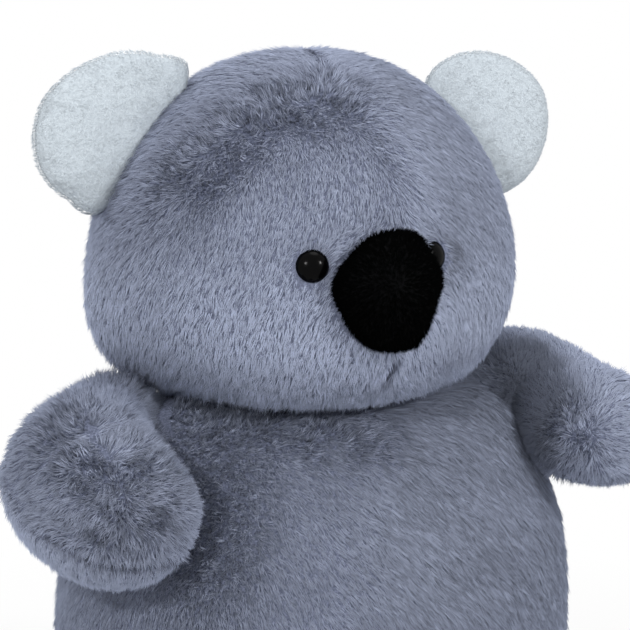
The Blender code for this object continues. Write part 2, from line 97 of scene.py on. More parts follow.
# Stations of an arm: sideways, ahead and down as shares of its reach, curl and drop, and its radius as a share
ARM_REACH, ARM_CURL, ARM_DROP, ARM_RADIUS = 0.020, 0.084, 0.020, 0.0436
ARM_STATIONS = {
    "right": (
        (-2.60, -0.02, -0.04, 0),
        (-0.80, 0.00, -0.10, 0.92),
        (-0.15, 0.13, 0.16, 0.90),
        (1.06, 0.41, 0.35, 1.03),
        (0.88, 0.71, 0.60, 0.94),
        (0.55, 0.98, 1.05, 0.84),
        (0.99, 1.18, 0.94, 0),
    ),
    "left": (
        (-2.60, -0.02, -0.90, 0),
        (-0.85, 0.00, -0.90, 0.90),
        (0.84, 0.10, -0.69, 0.93),
        (1.06, 0.36, -0.34, 0.79),
        (1.50, 0.66, 0.05, 0.92),
        (1.22, 0.92, 0.24, 0.78),
        (0.70, 1.10, 0.52, 0),
    ),
}
ARM_FLATNESS = {"right": 1.0, "left": 0.79}
LEG_SPLAY, LEG_LENGTH, LEG_RADIUS = math.radians(27), 0.080, 0.041
LEG_STATIONS = ((-0.55, 0), (-0.10, 0.94), (0.24, 0.98), (0.50, 1.02), (0.76, 1.10), (0.94, 0.98), (1.04, 0))


def spline(values, at, odd=False):
    """A uniform cubic B-spline of the values at 0, 1, 2 and so on, which runs on past both ends.

    Past an end the values repeat as in a mirror, and change their sign if odd, as a radius does past a pole.
    """
    values = np.asarray(values, float)
    sign = -1 if odd else 1
    run = np.concatenate([sign * values[2:0:-1], values, sign * values[-2:-4:-1]])
    first = np.clip(np.floor(at).astype(int), 0, len(values) - 2)
    t = np.asarray(at - first, float)
    if values.ndim > 1:
        t = t[..., None]
    weights = ((1 - t) ** 3, 3 * t**3 - 6 * t**2 + 4, -3 * t**3 + 3 * t**2 + 3 * t + 1, t**3)
    return sum(weight * run[first + 1 + k] for k, weight in enumerate(weights)) / 6


def unit(vectors):
    """The vectors at length one."""
    return vectors / np.maximum(np.linalg.norm(vectors, axis=-1, keepdims=True), 1e-12)


def dot(a, b):
    """The product of each pair of vectors, kept as a column."""
    return np.sum(a * b, axis=-1, keepdims=True)


def facing(place, turn, rise):
    """The outward normal: the product of the steps along the rise and round the turn."""
    low, high = place.poles
    rise = np.clip(rise, low + 0.02, high - 0.02)
    step = 1e-3
    round_step = place(turn + step, rise) - place(turn - step, rise)
    rise_step = place(turn, rise + step) - place(turn, rise - step)
    return unit(np.cross(round_step, rise_step) * place.outward)


def form(place, poles):
    """Gives a place its poles, and the sign that makes its normals point away from its middle."""
    place.poles, place.outward = poles, 1
    rises = np.linspace(poles[0] + 0.3, poles[1] - 0.3, 12)
    turns, rises = np.meshgrid(np.linspace(0, math.tau, 24, endpoint=False), rises)
    points = place(turns, rises)
    place.outward = float(np.sign(dot(facing(place, turns, rises), points - points.mean((0, 1))).sum()))
    return place


def upright(rings, size, foot):
    """A form of level ovals.

    Height, half-width, half-depth and forward shift are B-splines of the rings' shares over the rise. A point
    lies at half-width times the sine and half-depth times the cosine of the turn, and the whole is stretched
    to fill the box of this size above the foot.
    """
    shares = np.array([(0, 0, 0, 0), *rings, (1, 0, 0, 0)])
    poles = (0.0, len(shares) - 1.0)

    def shape(turn, rise):
        high, ahead = (spline(shares[:, column], rise) for column in (0, 3))
        wide, deep = (spline(shares[:, column], rise, odd=True) for column in (1, 2))
        return np.stack([wide * np.sin(turn), -2 * ahead - deep * np.cos(turn), high], -1)

    sample = shape(*np.meshgrid(np.linspace(0, math.tau, 181), np.linspace(*poles, 241)))
    low, high = sample.min((0, 1)), sample.max((0, 1))
    base = np.array([foot[0] - size[0] / 2, foot[1] - size[1] / 2, foot[2]])
    return form(lambda turn, rise: base + (shape(turn, rise) - low) / (high - low) * size, poles)


def limb(points, radii, flat=1):
    """A form round a bent line.

    The line and its radius are B-splines over the rise, and a point lies at the radius times the sine of the
    turn to the side and, pressed flat by a share, times its cosine upwards, square to the line.
    """
    points = np.array(points)
    ways = unit(points[2:] - points[:-2])
    ways = np.concatenate([ways[:1], ways, ways[-1:]])

    def place(turn, rise):
        along = unit(spline(ways, rise))
        across = unit(np.cross(along, Z))
        up = np.cross(across, along) * flat
        radius = spline(radii, rise, odd=True)[..., None]
        return spline(points, rise) + radius * (across * np.sin(turn)[..., None] + up * np.cos(turn)[..., None])

    return form(place, (0.0, len(points) - 1.0))


def drawn_in(place, depth):
    """The form moved inwards along its normals by a depth, which may be a function of points and normals."""

    def inner(turn, rise):
        points, normals = place(turn, rise), facing(place, turn, rise)
        return points - normals * (depth(points, normals)[..., None] if callable(depth) else depth)

    return form(inner, place.poles)


def hump(x, width):
    """A bell of height one: e to the minus square of x over width."""
    return np.exp(-((x / width) ** 2))


def apart(points, spot):
    """The distance of each point from a spot."""
    return np.linalg.norm(points - spot, axis=-1)


def from_path(points, path):
    """Each point's distance from a path of straight runs, and the unit way out from its nearest point."""
    best, way = np.full(points.shape[:-1], 9.0), np.zeros(points.shape)
    for start, end in zip(path[:-1], path[1:]):
        run = end - start
        share = np.clip(((points - start) @ run) / (run @ run), 0, 1)
        away = points - (start + share[..., None] * run)
        far = np.linalg.norm(away, axis=-1)
        way = np.where((far < best)[..., None], unit(away), way)
        best = np.minimum(far, best)
    return best, way


def near(points, place, width):
    """How near each point is to a spot or a path, from 0 to 1, as a bell of this width."""
    return hump(apart(points, place) if place.ndim == 1 else from_path(points, place)[0], width)


def waves(points, length, seed):
    """Smooth unevenness from about -1 to 1: the mean of nine sines of the place in scattered directions."""
    rng = np.random.default_rng(seed)
    ways = unit(rng.normal(size=(9, 3))) * rng.uniform(0.7, 1.4, (9, 1)) * math.tau / length
    return np.sin(points @ ways.T + rng.uniform(0, math.tau, 9)).mean(-1) * 2.2


# Meshes


def new_object(name, points, triangles, material, spots=None, normals=None):
    """A mesh piece from points and triangles, with a place on its map and a shading normal for each point."""
    mesh = bpy.data.meshes.new(name)
    mesh.vertices.add(len(points))
    mesh.vertices.foreach_set("co", np.asarray(points, np.float32).ravel())
    mesh.loops.add(triangles.size)
    mesh.loops.foreach_set("vertex_index", triangles.astype(np.int32).ravel())
    mesh.polygons.add(len(triangles))
    mesh.polygons.foreach_set("loop_start", np.arange(0, triangles.size, 3, dtype=np.int32))
    if spots is not None:
        layer = mesh.uv_layers.new(name=STRAND_MAP)
        layer.uv.foreach_set("vector", np.asarray(spots[triangles.ravel()], np.float32).ravel())
    mesh.update(calc_edges=True)
    mesh.shade_smooth()
    if normals is not None:
        mesh.normals_split_custom_set_from_vertices(np.asarray(normals, np.float32))
    mesh.materials.append(material)
    made = bpy.data.objects.new(name, mesh)
    bpy.context.scene.collection.objects.link(made)
    return made


def closed_mesh(name, rings, ends, material):
    """A closed mesh of rings of points, with a point that closes each end and its faces turned outwards."""
    rows, columns = rings.shape[:2]
    points = np.concatenate([rings.reshape(-1, 3), *(end.reshape(1, 3) for end in ends)])
    row, column = np.meshgrid(np.arange(rows - 1), np.arange(columns), indexing="ij")
    a, b = row * columns + column, row * columns + (column + 1) % columns
    ring = np.arange(columns)
    after, last = (ring + 1) % columns, (rows - 1) * columns
    first_end, last_end = (np.full(columns, len(points) - back) for back in (2, 1))
    parts = (
        (a, b, b + columns),
        (a, b + columns, a + columns),
        (after, ring, first_end),
        (ring + last, after + last, last_end),
    )
    triangles = np.concatenate([np.stack(part, -1).reshape(-1, 3) for part in parts])
    corner = points[triangles]
    out = np.cross(corner[:, 1] - corner[:, 0], corner[:, 2] - corner[:, 0])
    if (out * (corner.mean(1) - points.mean(0))).sum() < 0:
        triangles = triangles[:, ::-1]
    return new_object(name, points, triangles, material)


def skin(name, place, rows, columns, material, span=None):
    """A closed mesh over a form between two rises, whose rows stand closer near the ends, as a cosine has them."""
    low, high = span or place.poles
    rise = low + (high - low) * (1 - np.cos(np.linspace(0, math.pi, rows + 2)[1:-1])) / 2
    turn = np.linspace(0, math.tau, columns, endpoint=False)
    ends = [place(turn, np.full(columns, end)).mean(0) for end in (low, high)]
    return closed_mesh(name, place(*np.meshgrid(turn, rise)), ends, material)


GOLDEN, JITTER = 0.618, 0.45  # shares of a step


def rooted(place, spacing, seed):
    """(turn, rise) of points all over a form, about one spacing apart.

    Rows lie a spacing apart along the form. Each holds as many points as its girth has room for, starts a
    golden share of a step on from the last, and every point is then jittered by under half a step.
    """
    low, high = place.poles
    turns, rises = np.meshgrid(np.linspace(0, math.tau, 73), np.linspace(low, high, 401))
    points = place(turns, rises)
    steps = np.linalg.norm(np.diff(points, axis=0), axis=-1).mean(1)
    run = np.concatenate([[0], np.cumsum(steps)])
    girths = np.linalg.norm(np.diff(points, axis=1), axis=-1).sum(1)
    rows = np.arange(0.5, run[-1] / spacing)
    row_rise = np.interp(rows * spacing, run, rises[:, 0])
    counts = np.maximum(1, np.round(np.interp(row_rise, rises[:, 0], girths) / spacing)).astype(int)
    rng = np.random.default_rng(seed)
    total = counts.sum()
    row = np.repeat(np.arange(len(rows)), counts)
    within = np.arange(total) - np.repeat(np.cumsum(counts) - counts, counts)
    turn = (within + row * GOLDEN + rng.uniform(-JITTER, JITTER, total)) / counts[row] * math.tau
    along = (rows[row] + rng.uniform(-JITTER, JITTER, total)) * spacing
    return turn % math.tau, np.clip(np.interp(along, run, rises[:, 0]), low + 0.01, high - 0.01)


STRAND_MAP = "OFBake"
SPIKE = np.array([[0, 1, 3], [1, 2, 3], [2, 0, 3], [0, 2, 1]])
SPIKE_SPOTS = np.array([(-0.012, 0.0), (0.0, 0.03), (0.012, 0.0), (0.0, 1.0)])


def strands(roots, normals, ways, length, lift, width, tone, foot, side_tilt):
    """Closed three-sided strands: points, triangles, a (tone, share of the length) and a shading normal for each.

    A strand leaves its root at the lift above its way and narrows to a point. Its foot is a triangle, two
    corners at half a width to each side and one on top, and has the colour of this share of its length. It is
    shaded as the pile round it is, turned a little to its sides.
    """
    side = unit(np.cross(ways, normals))
    length, lift, width, tone, foot = (value[:, None] for value in (length, lift, width, tone, foot))
    along = ways * np.cos(lift) + normals * np.sin(lift)
    half = side * width / 2
    top = unit(np.cross(side, along)) * width * 0.55
    points = np.stack([roots - half, roots + top, roots + half, roots + along * length], 1)
    tilt = side * side_tilt
    shading = unit(np.stack([normals - tilt, normals, normals + tilt, normals], 1))
    triangles = SPIKE[None] + (np.arange(len(roots)) * 4)[:, None, None]
    at_foot = foot * (SPIKE_SPOTS[:, 1] < 0.5)
    spots = SPIKE_SPOTS[None] + np.stack(np.broadcast_arrays(tone, at_foot), -1)
    return points.reshape(-1, 3), triangles.reshape(-1, 3), spots.reshape(-1, 2), shading.reshape(-1, 3)


def joined(parts):
    """Several (points, triangles, spots, shading) as one."""
    offsets = np.cumsum([0] + [len(part[0]) for part in parts])
    triangles = np.concatenate([part[1] + offset for part, offset in zip(parts, offsets)])
    points, spots, shading = (np.concatenate([part[k] for part in parts]) for k in (0, 2, 3))
    return points, triangles, spots, shading


def turned(ways, normals, angle):
    """The ways turned about the normals by an angle."""
    angle = angle[:, None]
    return ways * np.cos(angle) + np.cross(normals, ways) * np.sin(angle)


WANDERS = ((0.14, 16 * MM), (0.20, 6 * MM))  # how far the pile's way swings, and over what length
TUFT = 7 * MM
TONE_GAIN = 0.57


def pile(name, place, nap, look, seed, panels, keep):
    """The pile of one form, in one piece for each panel, of which each is a name and the turn where it ends.

    Locks are rooted all over the form, each of several strands whose tips draw together. Where the pile stands,
    the strands also point every way. Where fewer locks are kept, their strands are wider in turn.
    """
    rng = np.random.default_rng(seed)
    turn, rise = rooted(place, look["spacing"] * (1), seed)
    centre, normal = place(turn, rise), facing(place, turn, rise)
    close, mottle = look["closeness"](centre, normal), look["mottle"]
    kept = (rng.random(len(centre)) < close) & keep(centre, normal)
    turn, centre, normal, close = turn[kept], centre[kept], normal[kept], close[kept]
    count = len(centre)
    way, stand, short, tint = nap(centre, normal)
    way = unit(way - normal * dot(way, normal))
    wander = sum(swing * waves(centre, run, seed + k) for k, (swing, run) in enumerate(WANDERS))
    tuft = waves(centre, TUFT, seed + 3)
    sleek, upright_share = np.clip(-stand, 0, None), stand.clip(0)
    scatter = rng.normal(0, 1, count) * (0.10 + 1.5 * upright_share**2)
    way = turned(way, normal, wander + scatter)
    shade = tint + 0.05 * waves(centre, 30 * MM, seed + 2) + rng.normal(0, mottle, count)
    shade += mottle * tuft * (1 + 3 * upright_share)
    shade += rng.normal(0, 4.6 * mottle, count) * upright_share
    # More of the strands' darker root colour shows at the foot where the pile stands, and less where it is sleek:
    # painted shade of the pile's depth
    foot = np.clip(0.10 + 2.2 * sleek - 0.4 * stand, 0, 0.52)
    sink = look["sink"] * np.clip(1 - 4 * sleek, 0.15, 1)[:, None]
    length = look["length"] * short * rng.uniform(0.85, 1.10, count) * (1 + 0.08 * tuft)
    lift = look["lift"] * (1 + 0.15 * tuft) + stand * (look["stand"] - look["lift"]) + rng.normal(0, 0.05, count)
    parts = []
    for _ in range(look["strands"]):
        around, out = rng.uniform(0, math.tau, count), np.sqrt(rng.random(count))
        offset = turned(way, normal, around) * (out * look["spacing"] * 0.75)[:, None]
        root = centre + offset - normal * sink
        own = turned(way, normal, rng.normal(0, 0.10, count) * (1 + 4 * upright_share))
        aim = unit(own - offset / look["length"] * look["gather"])
        aim = unit(aim - normal * dot(aim, normal))
        reach = length * rng.uniform(0.72, 1.0, count)
        thick = look["width"] * rng.uniform(0.8, 1.2, count) / np.sqrt(close) * (1 + 2.5 * sleek)
        tone = np.clip(0.5 + TONE_GAIN * (shade + rng.normal(0, mottle, count)), 0.02, 0.98)
        leaning = lift + rng.normal(0, 0.06, count)
        parts.append(strands(root, normal, aim, reach, leaning, thick, tone, foot, look["side_tilt"]))
    points, triangles, spots, shading = joined(parts)
    panel_index = np.searchsorted([end for _, end in panels[:-1]], turn)
    owner = np.tile(np.repeat(panel_index, len(SPIKE)), look["strands"])
    made = []
    for index, (panel, _) in enumerate(panels):
        used, local = np.unique(triangles[owner == index], return_inverse=True)
        title = f"{name}_pile_{panel}" if panel else f"{name}_pile"
        local = local.reshape(-1, 3)
        made.append(new_object(title, points[used], local, look["material"], spots[used], shading[used]))
    return made


# Finishes


def feed(tree, node, inputs):
    """Gives each of these inputs of a node its value, or a link from another node's output."""
    for label, value in inputs.items():
        if isinstance(value, bpy.types.NodeSocket):
            tree.links.new(value, node.inputs[label])
        else:
            node.inputs[label].default_value = value


def add_node(tree, kind, inputs, operation=None):
    """The outputs of a new shader node with these inputs."""
    node = tree.nodes.new("ShaderNode" + kind)
    if operation:
        node.operation = operation
    feed(tree, node, inputs)
    return node.outputs


def tree_of(name):
    """A new material with its nodes: (material, node tree, Principled node)."""
    material = bpy.data.materials.new(name)
    material.use_nodes = True
    return material, material.node_tree, material.node_tree.nodes["Principled BSDF"]


def strand_group():
    """The colour of a strand: from its root's colour to its tip's along it, brighter or darker by its tone."""
    group = bpy.data.node_groups.new("strand_colour", "ShaderNodeTree")
    for label, kind in (("Root", "NodeSocketColor"), ("Tip", "NodeSocketColor"), ("Spread", "NodeSocketFloat")):
        group.interface.new_socket(label, in_out="INPUT", socket_type=kind)
    group.interface.new_socket("Colour", in_out="OUTPUT", socket_type="NodeSocketColor")
    given, result = group.nodes.new("NodeGroupInput").outputs, group.nodes.new("NodeGroupOutput")
    place = group.nodes.new("ShaderNodeUVMap")
    place.uv_map = STRAND_MAP
    spot = add_node(group, "SeparateXYZ", {0: place.outputs[0]})
    along = group.nodes.new("ShaderNodeMapRange")
    along.interpolation_type = "SMOOTHSTEP"
    feed(group, along, {"Value": spot["Y"], "From Min": 0.15, "From Max": 0.62})
    blend = group.nodes.new("ShaderNodeMix")
    blend.data_type = "RGBA"
    feed(group, blend, {0: along.outputs[0], 6: given["Root"], 7: given["Tip"]})
    offset = add_node(group, "Math", {0: spot["X"], 1: 0.5}, "SUBTRACT")
    bright = add_node(group, "Math", {0: offset[0], 1: given["Spread"], 2: 1}, "MULTIPLY_ADD")
    scaled = add_node(group, "VectorMath", {0: blend.outputs[2], "Scale": bright[0]}, "SCALE")
    feed(group, result, {0: scaled[0]})
    return group


STRAND_COLOUR = strand_group()


def strand_material(name, root, tip, spread, rough, sheen, shine):
    """The finish of pile: darker between the strands, at their roots, paler at their tips, with a bluish sheen. In
    the grey pile the darker roots are painted shade of the pile's depth.
    """
    material, tree, shader = tree_of(name)
    colour = tree.nodes.new("ShaderNodeGroup")
    colour.node_tree = STRAND_COLOUR
    feed(tree, colour, {"Root": (*root, 1), "Tip": (*tip, 1), "Spread": spread})
    feed(tree, shader, {"Base Color": colour.outputs[0], "Roughness": rough, "Specular IOR Level": shine})
    feed(tree, shader, {"Sheen Weight": sheen, "Sheen Tint": (0.60, 0.69, 0.98, 1), "Sheen Roughness": 0.5})
    return material


def bumped(tree, shader, grain, strength, distance):
    """Gives a shader the bump of a grain."""
    bump = add_node(tree, "Bump", {"Strength": strength, "Distance": distance, "Height": grain})
    feed(tree, shader, {"Normal": bump[0]})


def grain_of(tree, scale, **inputs):
    """The noise of this scale over the piece's own places."""
    spot = add_node(tree, "TexCoord", {})
    return add_node(tree, "TexNoise", {"Scale": scale, "Vector": spot["Object"], **inputs})[0]


def backing_material(name, dark, light, scale):
    """The depth of the pile below its strands: a fine dark and light grain. Under the grey pile its dark colours are
    painted shade of the pile's depth.
    """
    material, tree, shader = tree_of(name)
    grain = grain_of(tree, scale, Detail=3)
    ramp = tree.nodes.new("ShaderNodeValToRGB")
    for stop, position, colour in zip(ramp.color_ramp.elements, (0.35, 0.70), (dark, light)):
        stop.position, stop.color = position, (*colour, 1)
    feed(tree, ramp, {0: grain})
    feed(tree, shader, {"Base Color": ramp.outputs[0], "Roughness": 0.95, "Specular IOR Level": 0.05})
    bumped(tree, shader, grain, 0.6, 0.5 * MM)
    return material


# The grey pile's dark roots and its dark backing are painted shade of the pile's depth
GREY_STRANDS = strand_material("grey_pile", (0.115, 0.13, 0.183), (0.355, 0.396, 0.520), 1.4, 0.8, 0.28, 0.12)
GREY_BACKING = backing_material("grey_backing", (0.09, 0.102, 0.148), (0.19, 0.212, 0.30), 900)
PALE_STRANDS = strand_material("pale_pile", (0.545, 0.60, 0.648), (0.560, 0.617, 0.664), 0.36, 0.85, 0.2, 0.10)
PALE_BACKING = backing_material("pale_backing", (0.50, 0.555, 0.60), (0.55, 0.605, 0.65), 1100)
BLACK_STRANDS = strand_material("black_pile", (0.0006, 0.0007, 0.0007), (0.0008, 0.0009, 0.0009), 0.3, 1.0, 0.0, 0.01)
BLACK_BACKING = backing_material("black_backing", (0.0012, 0.0012, 0.0015), (0.003, 0.003, 0.0035), 1100)


def eye_material():
    """Glossy black plastic with the faintest unevenness and dust in its roughness."""
    material, tree, shader = tree_of("eye_gloss")
    gloss = add_node(tree, "MapRange", {"Value": grain_of(tree, 700), "To Min": 0.15, "To Max": 0.21})
    black = (0.0006, 0.0006, 0.0007, 1)
    feed(tree, shader, {"Base Color": black, "Specular IOR Level": 0.06, "Roughness": gloss[0]})
    return material


def nylon_material():
    """Milky moulded nylon for the lock washers, with a fine moulded bump."""
    material, tree, shader = tree_of("washer_nylon")
    feed(tree, shader, {"Base Color": (0.78, 0.78, 0.76, 1), "Roughness": 0.45})
    bumped(tree, shader, grain_of(tree, 1500), 0.2, 0.1 * MM)
    return material


EYE_GLOSS = eye_material()
WASHER_NYLON = nylon_material()
FIBRE = backing_material("white_fibre", (0.70, 0.70, 0.68), (0.85, 0.85, 0.83), 700)

CAMERA_WAY = np.array([-0.4195, -0.8996, 0.1219])


def closeness(points, normals):
    """The share of the locks that is kept: all where the pile faces the photograph, fewer behind and below."""
    below = np.clip((0.115 - points[:, 2]) / 0.03, 0, 1)
    return np.clip(0.60 + 1.1 * (normals @ CAMERA_WAY), 0.36, 1) * (1 - 0.25 * below)


def all_kept(points, normals):
    """Every lock is kept."""
    return np.ones(len(points))


LONG_PILE = dict(
    spacing=1.66 * MM,
    strands=5,
    length=7.5 * MM,
    lift=0.36,
    stand=1.40,
    width=0.50 * MM,
    sink=1.0 * MM,
    gather=0.65,  # how far the tips of a lock draw together
    mottle=0.07,  # how much the tone of locks and strands varies
    side_tilt=0.55,  # of the shading normals
    closeness=closeness,
    material=GREY_STRANDS,
)
EAR_BACK_PILE = {**LONG_PILE, "length": 6.0 * MM}
SHORT_PALE_PILE = dict(LONG_PILE, spacing=1.25 * MM, length=2.7 * MM, lift=0.34, width=0.36 * MM, sink=0.5 * MM)
SHORT_PALE_PILE.update(mottle=0.02, side_tilt=0.05, closeness=all_kept, material=PALE_STRANDS)
SHORT_BLACK_PILE = dict(SHORT_PALE_PILE, spacing=1.3 * MM, length=4.8 * MM, lift=0.75, width=0.38 * MM)
SHORT_BLACK_PILE.update(sink=0.7 * MM, material=BLACK_STRANDS)
LAY = 2.3 * MM  # height of the lying long pile
ONE_PANEL = (("", math.tau),)
SIX_PANELS = tuple(
    (label, (index + 1) * math.pi / 3)
    for index, label in enumerate(("left_front", "left_side", "left_back", "right_back", "right_side", "right_front"))
)


def dress(made, body, other=None, bend=None):
    """Rides a piece on its body; given a second body, it only bakes the piece's place into its mesh."""
    if other:
        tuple(bend[0])
        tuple(bend[1])
        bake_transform(made)
    else:
        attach(made, body)


# Head

HEAD_WHOLE = upright(HEAD_RINGS, HEAD_SIZE, HEAD_FOOT)
NECK = PIVOTS["neck_turn"]
NECK_RADIUS = 36 * MM


def neck_dome(points):
    """How far a ball round the neck reaches up or down from its middle at each point, and 0 beside it."""
    out = apart(points[..., :2], NECK[:2]) / NECK_RADIUS
    return NECK_RADIUS * np.sqrt(np.clip(1 - out**2, 0, None))


def head_outer(turn, rise):
    """The head's outline with its snout, a bell round the turn that swells over the lower rings."""
    from_front = math.pi - np.abs(math.pi - turn % math.tau)
    swell = MUZZLE_RISE * spline(MUZZLE_SHARES, rise) * hump(from_front, MUZZLE_HALF_TURN)
    return HEAD_WHOLE(turn, rise) + FORWARD * swell[..., None]


form(head_outer, HEAD_WHOLE.poles)


def eye_axes():
    """For each side the middle of the eye's cap and the way it faces.

    An eye is a body of revolution: of its three main directions, its axis is the one whose spread is unlike
    the others. The cap's edge is the widest part of it.
    """
    found = {}
    for side, _ in SIDES:
        points = np.array([v.co for v in frame["nodes"][side + "_eye"].data.vertices])
        spreads, ways = np.linalg.eigh(np.cov((points - points.mean(0)).T))
        odd = 2 if spreads[2] - spreads[1] > spreads[1] - spreads[0] else 0
        axis = ways[:, odd] * -np.sign(ways[1, odd])
        middle = points.mean(0)
        along = (points - middle) @ axis
        out = np.linalg.norm(points - middle - along[:, None] * axis, axis=1)
        found[side] = middle + axis * along[out > 0.98 * out.max()].min(), axis
    return found


EYES = eye_axes()
EYE_SHIFTS = {"right": np.zeros(3), "left": in_mm(-3.5, 1.5, 1.2)}  # of the cap on its stem
EYE_RADIUS, EYE_DOME, EYE_EDGE = 7.8 * MM, 6.4 * MM, 1.0 * MM
EYE_STEM = in_mm(  # radius and height, down its two ribs
    (1.9, 0.0),
    (1.9, -3.3),
    (2.3, -3.7),
    (1.9, -4.1),
    (1.9, -6.9),
    (2.3, -7.3),
    (1.9, -7.7),
    (1.9, -10.5),
    (1.5, -10.9),
)


def from_eyes(points):
    """The distance of each point from the nearer eye's axis, and the unit way out from it."""
    best = np.full(points.shape[:-1], 1.0)
    way = np.zeros(points.shape)
    for side, (middle, axis) in EYES.items():
        away = points - middle - EYE_SHIFTS[side]
        away = away - dot(away, axis) * axis
        far = np.linalg.norm(away, axis=-1)
        nearer = (far < best) & (points[..., 1] < 0)
        best = np.where(nearer, far, best)
        way = np.where(nearer[..., None], unit(away), way)
    return best, way


NOSE_LOW, _ = (np.array(corner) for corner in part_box("nose_cover"))
NOSE_SIZE = np.array([0.056, 0.034, 0.057])
NOSE_FOOT = np.array([0, NOSE_LOW[1] + NOSE_SIZE[1] / 2, NOSE_LOW[2]])
NOSE_MIDDLE = NOSE_FOOT + Z * NOSE_SIZE[2] / 2
NOSE_RINGS = (
    (0.03, 0.48, 0.56, 0.00),
    (0.17, 0.74, 0.84, 0.00),
    (0.38, 0.94, 0.98, 0.00),
    (0.60, 1.12, 1.02, 0.00),
    (0.80, 0.80, 0.86, 0.00),
    (0.98, 0.46, 0.54, 0.00),
)
NOSE_BOW = 3.6 * MM  # how far the nose leans to the koala's left at its top and bottom


def from_nose(points):
    """How far each point is from the nose's middle, seen from the front, as a share of the nose's own reach."""
    across = points[..., 0] / (NOSE_SIZE[0] / 2)
    up = (points[..., 2] - NOSE_MIDDLE[2]) / (NOSE_SIZE[2] / 2)
    return np.where(points[..., 1] < -0.05, np.hypot(across, up), 9.0)


CHIN = in_mm(7.8, -88.0, 252.6)


def chin_seam(points):
    """How near each point is to the short seam on the chin, from 0 to 1."""
    across = (points[..., 0] - CHIN[0] + (CHIN[2] - points[..., 2]) * 0.25) / (1.8 * MM)
    high = (points[..., 2] - CHIN[2]) / (7 * MM)
    return hump(across, 1) * hump(high, 1) * (points[..., 1] < -0.03)


JOWL = in_mm(-99.0, 14.0, 266.0)


def head_depth(points, normals):
    """The pile's lay, with a dent round each eye, a crease along the chin's seam and a fuller right jowl."""
    far, _ = from_eyes(points)
    fuller = 3.0 * MM * near(points, JOWL, 22 * MM)
    return LAY + 2.4 * MM * hump(far, 9 * MM) + 4.0 * MM * chin_seam(points) - fuller


HEAD_SKIN = drawn_in(head_outer, head_depth)


def head_place(turn, rise):
    """The head's skin, hollowed underneath where the neck's ball reaches into it."""
    points = HEAD_SKIN(turn, rise)
    points[..., 2] = np.maximum(points[..., 2], np.where(neck_dome(points) > 0, NECK[2] + neck_dome(points), 0))
    return points


form(head_place, HEAD_WHOLE.poles)
BROW = in_mm((-78.8, -45.5, 344.1), (-64.9, -49.1, 357.4), (-48.4, -51.5, 368.7), (-10.2, -55.2, 379.4))
PARTING = in_mm((1.1, -54.2, 380.8), (5.7, -69.7, 363.2), (13.0, -79.4, 346.1))
BESIDE_EAR = np.array([-0.092, -0.018, 0.325])
LEFT_SOCKET = EYES["left"][0] + in_mm(8.0, 6.0, 2.0)


def from_ear(points, side):
    """How far each point is from an ear's root: along the ear, across it and out of its face."""
    middle, along, across, face = EARS[side]
    away = points - middle - across * EAR_SETS[side][0]
    return away @ along, away @ across, away @ face


def head_nap(points, normals):
    """Down from the brow, where the pile stands up, smooth to the left of the parting; out from eyes and nose.

    The pile stands most in blotches along the brow, and a little beside the right ear.
    """
    brow, brow_way = from_path(points, BROW)
    band = np.clip(1.5 * hump(brow, 19 * MM), 0, 1)
    high = np.clip((points[:, 2] - 0.25) / 0.12, 0, 1)
    beyond = points[:, 0] - np.interp(points[:, 2], PARTING[::-1, 2], PARTING[::-1, 0])
    left_of, sheen = np.clip(beyond / (8 * MM), -1, 1), np.clip(beyond / (28 * MM), 0, 1)
    sideways = np.where(left_of > 0, left_of * (0.25 + 0.65 * high), left_of * 0.30)
    way = brow_way * (1.1 * hump(brow, 30 * MM))[:, None] - Z + X * sideways[:, None]
    eye_far, eye_way = from_eyes(points)
    way = unit(way) + eye_way * (1.1 * hump(eye_far, 10 * MM))[:, None]
    nose_far = from_nose(points)
    round_nose = 0.7 * hump(np.maximum(nose_far - 1, 0), 0.22) * (nose_far < 8)
    way = way + unit(points - NOSE_MIDDLE) * round_nose[:, None]
    blotch = 0.64 + 0.30 * waves(points, 20 * MM, 5)
    hanging = np.clip(-1.5 * normals[:, 2] - 0.5, 0, 0.70)
    smooth = 0.20 * sheen * (1 - band) * (1 - hanging)
    ruffled = band * blotch + 0.45 * near(points, BESIDE_EAR, 20 * MM) + 0.35 * near(points, PARTING, 6 * MM)
    stand = np.clip(ruffled + hanging, 0, 1) - smooth
    # Painted light: the head is paler below 0.315 m, on the cheeks and chin, as if lit from below, and 0.08 darker
    # above that
    low = np.clip((0.315 - points[:, 2]) / 0.03, 0, 1)
    # Painted shade: along the brow the standing pile is painted darker in blotches, as the shade in its depth
    tint = 0.34 * low * (1 - 0.8 * sheen) - 0.38 * sheen * (1 - 0.35 * low) - 0.57 * band * blotch
    # Painted shade in the crease of the chin's seam and in the hollow beside the left eye
    tint -= 1.3 * chin_seam(points) + 0.45 * near(points, LEFT_SOCKET, 7 * MM) + 0.08 * (1 - low)
    # Painted shade in a ring round each eye, at the edge of its dent
    tint -= 0.25 * hump(eye_far - 10 * MM, 3 * MM)
    # Painted shade in the crease where each ear's root meets the head
    for side, _ in SIDES:
        along, across, out = from_ear(points, side)
        tint -= 0.6 * hump(out - 9 * MM, 4 * MM) * ((np.abs(across) < 40 * MM) & (along > -16 * MM))
    ragged = waves(points * np.array([1, 1, 0.4]), 6 * MM, 21)
    # Painted shade under the head, where the pile hangs, with a ragged uneven tone
    tint += hanging * (0.35 * ragged - 0.30)
    short = (1 - 0.45 * hump(eye_far, 10 * MM) - 0.12 * stand) * (1 + 0.25 * hanging * ragged)
    return way, stand, short, tint


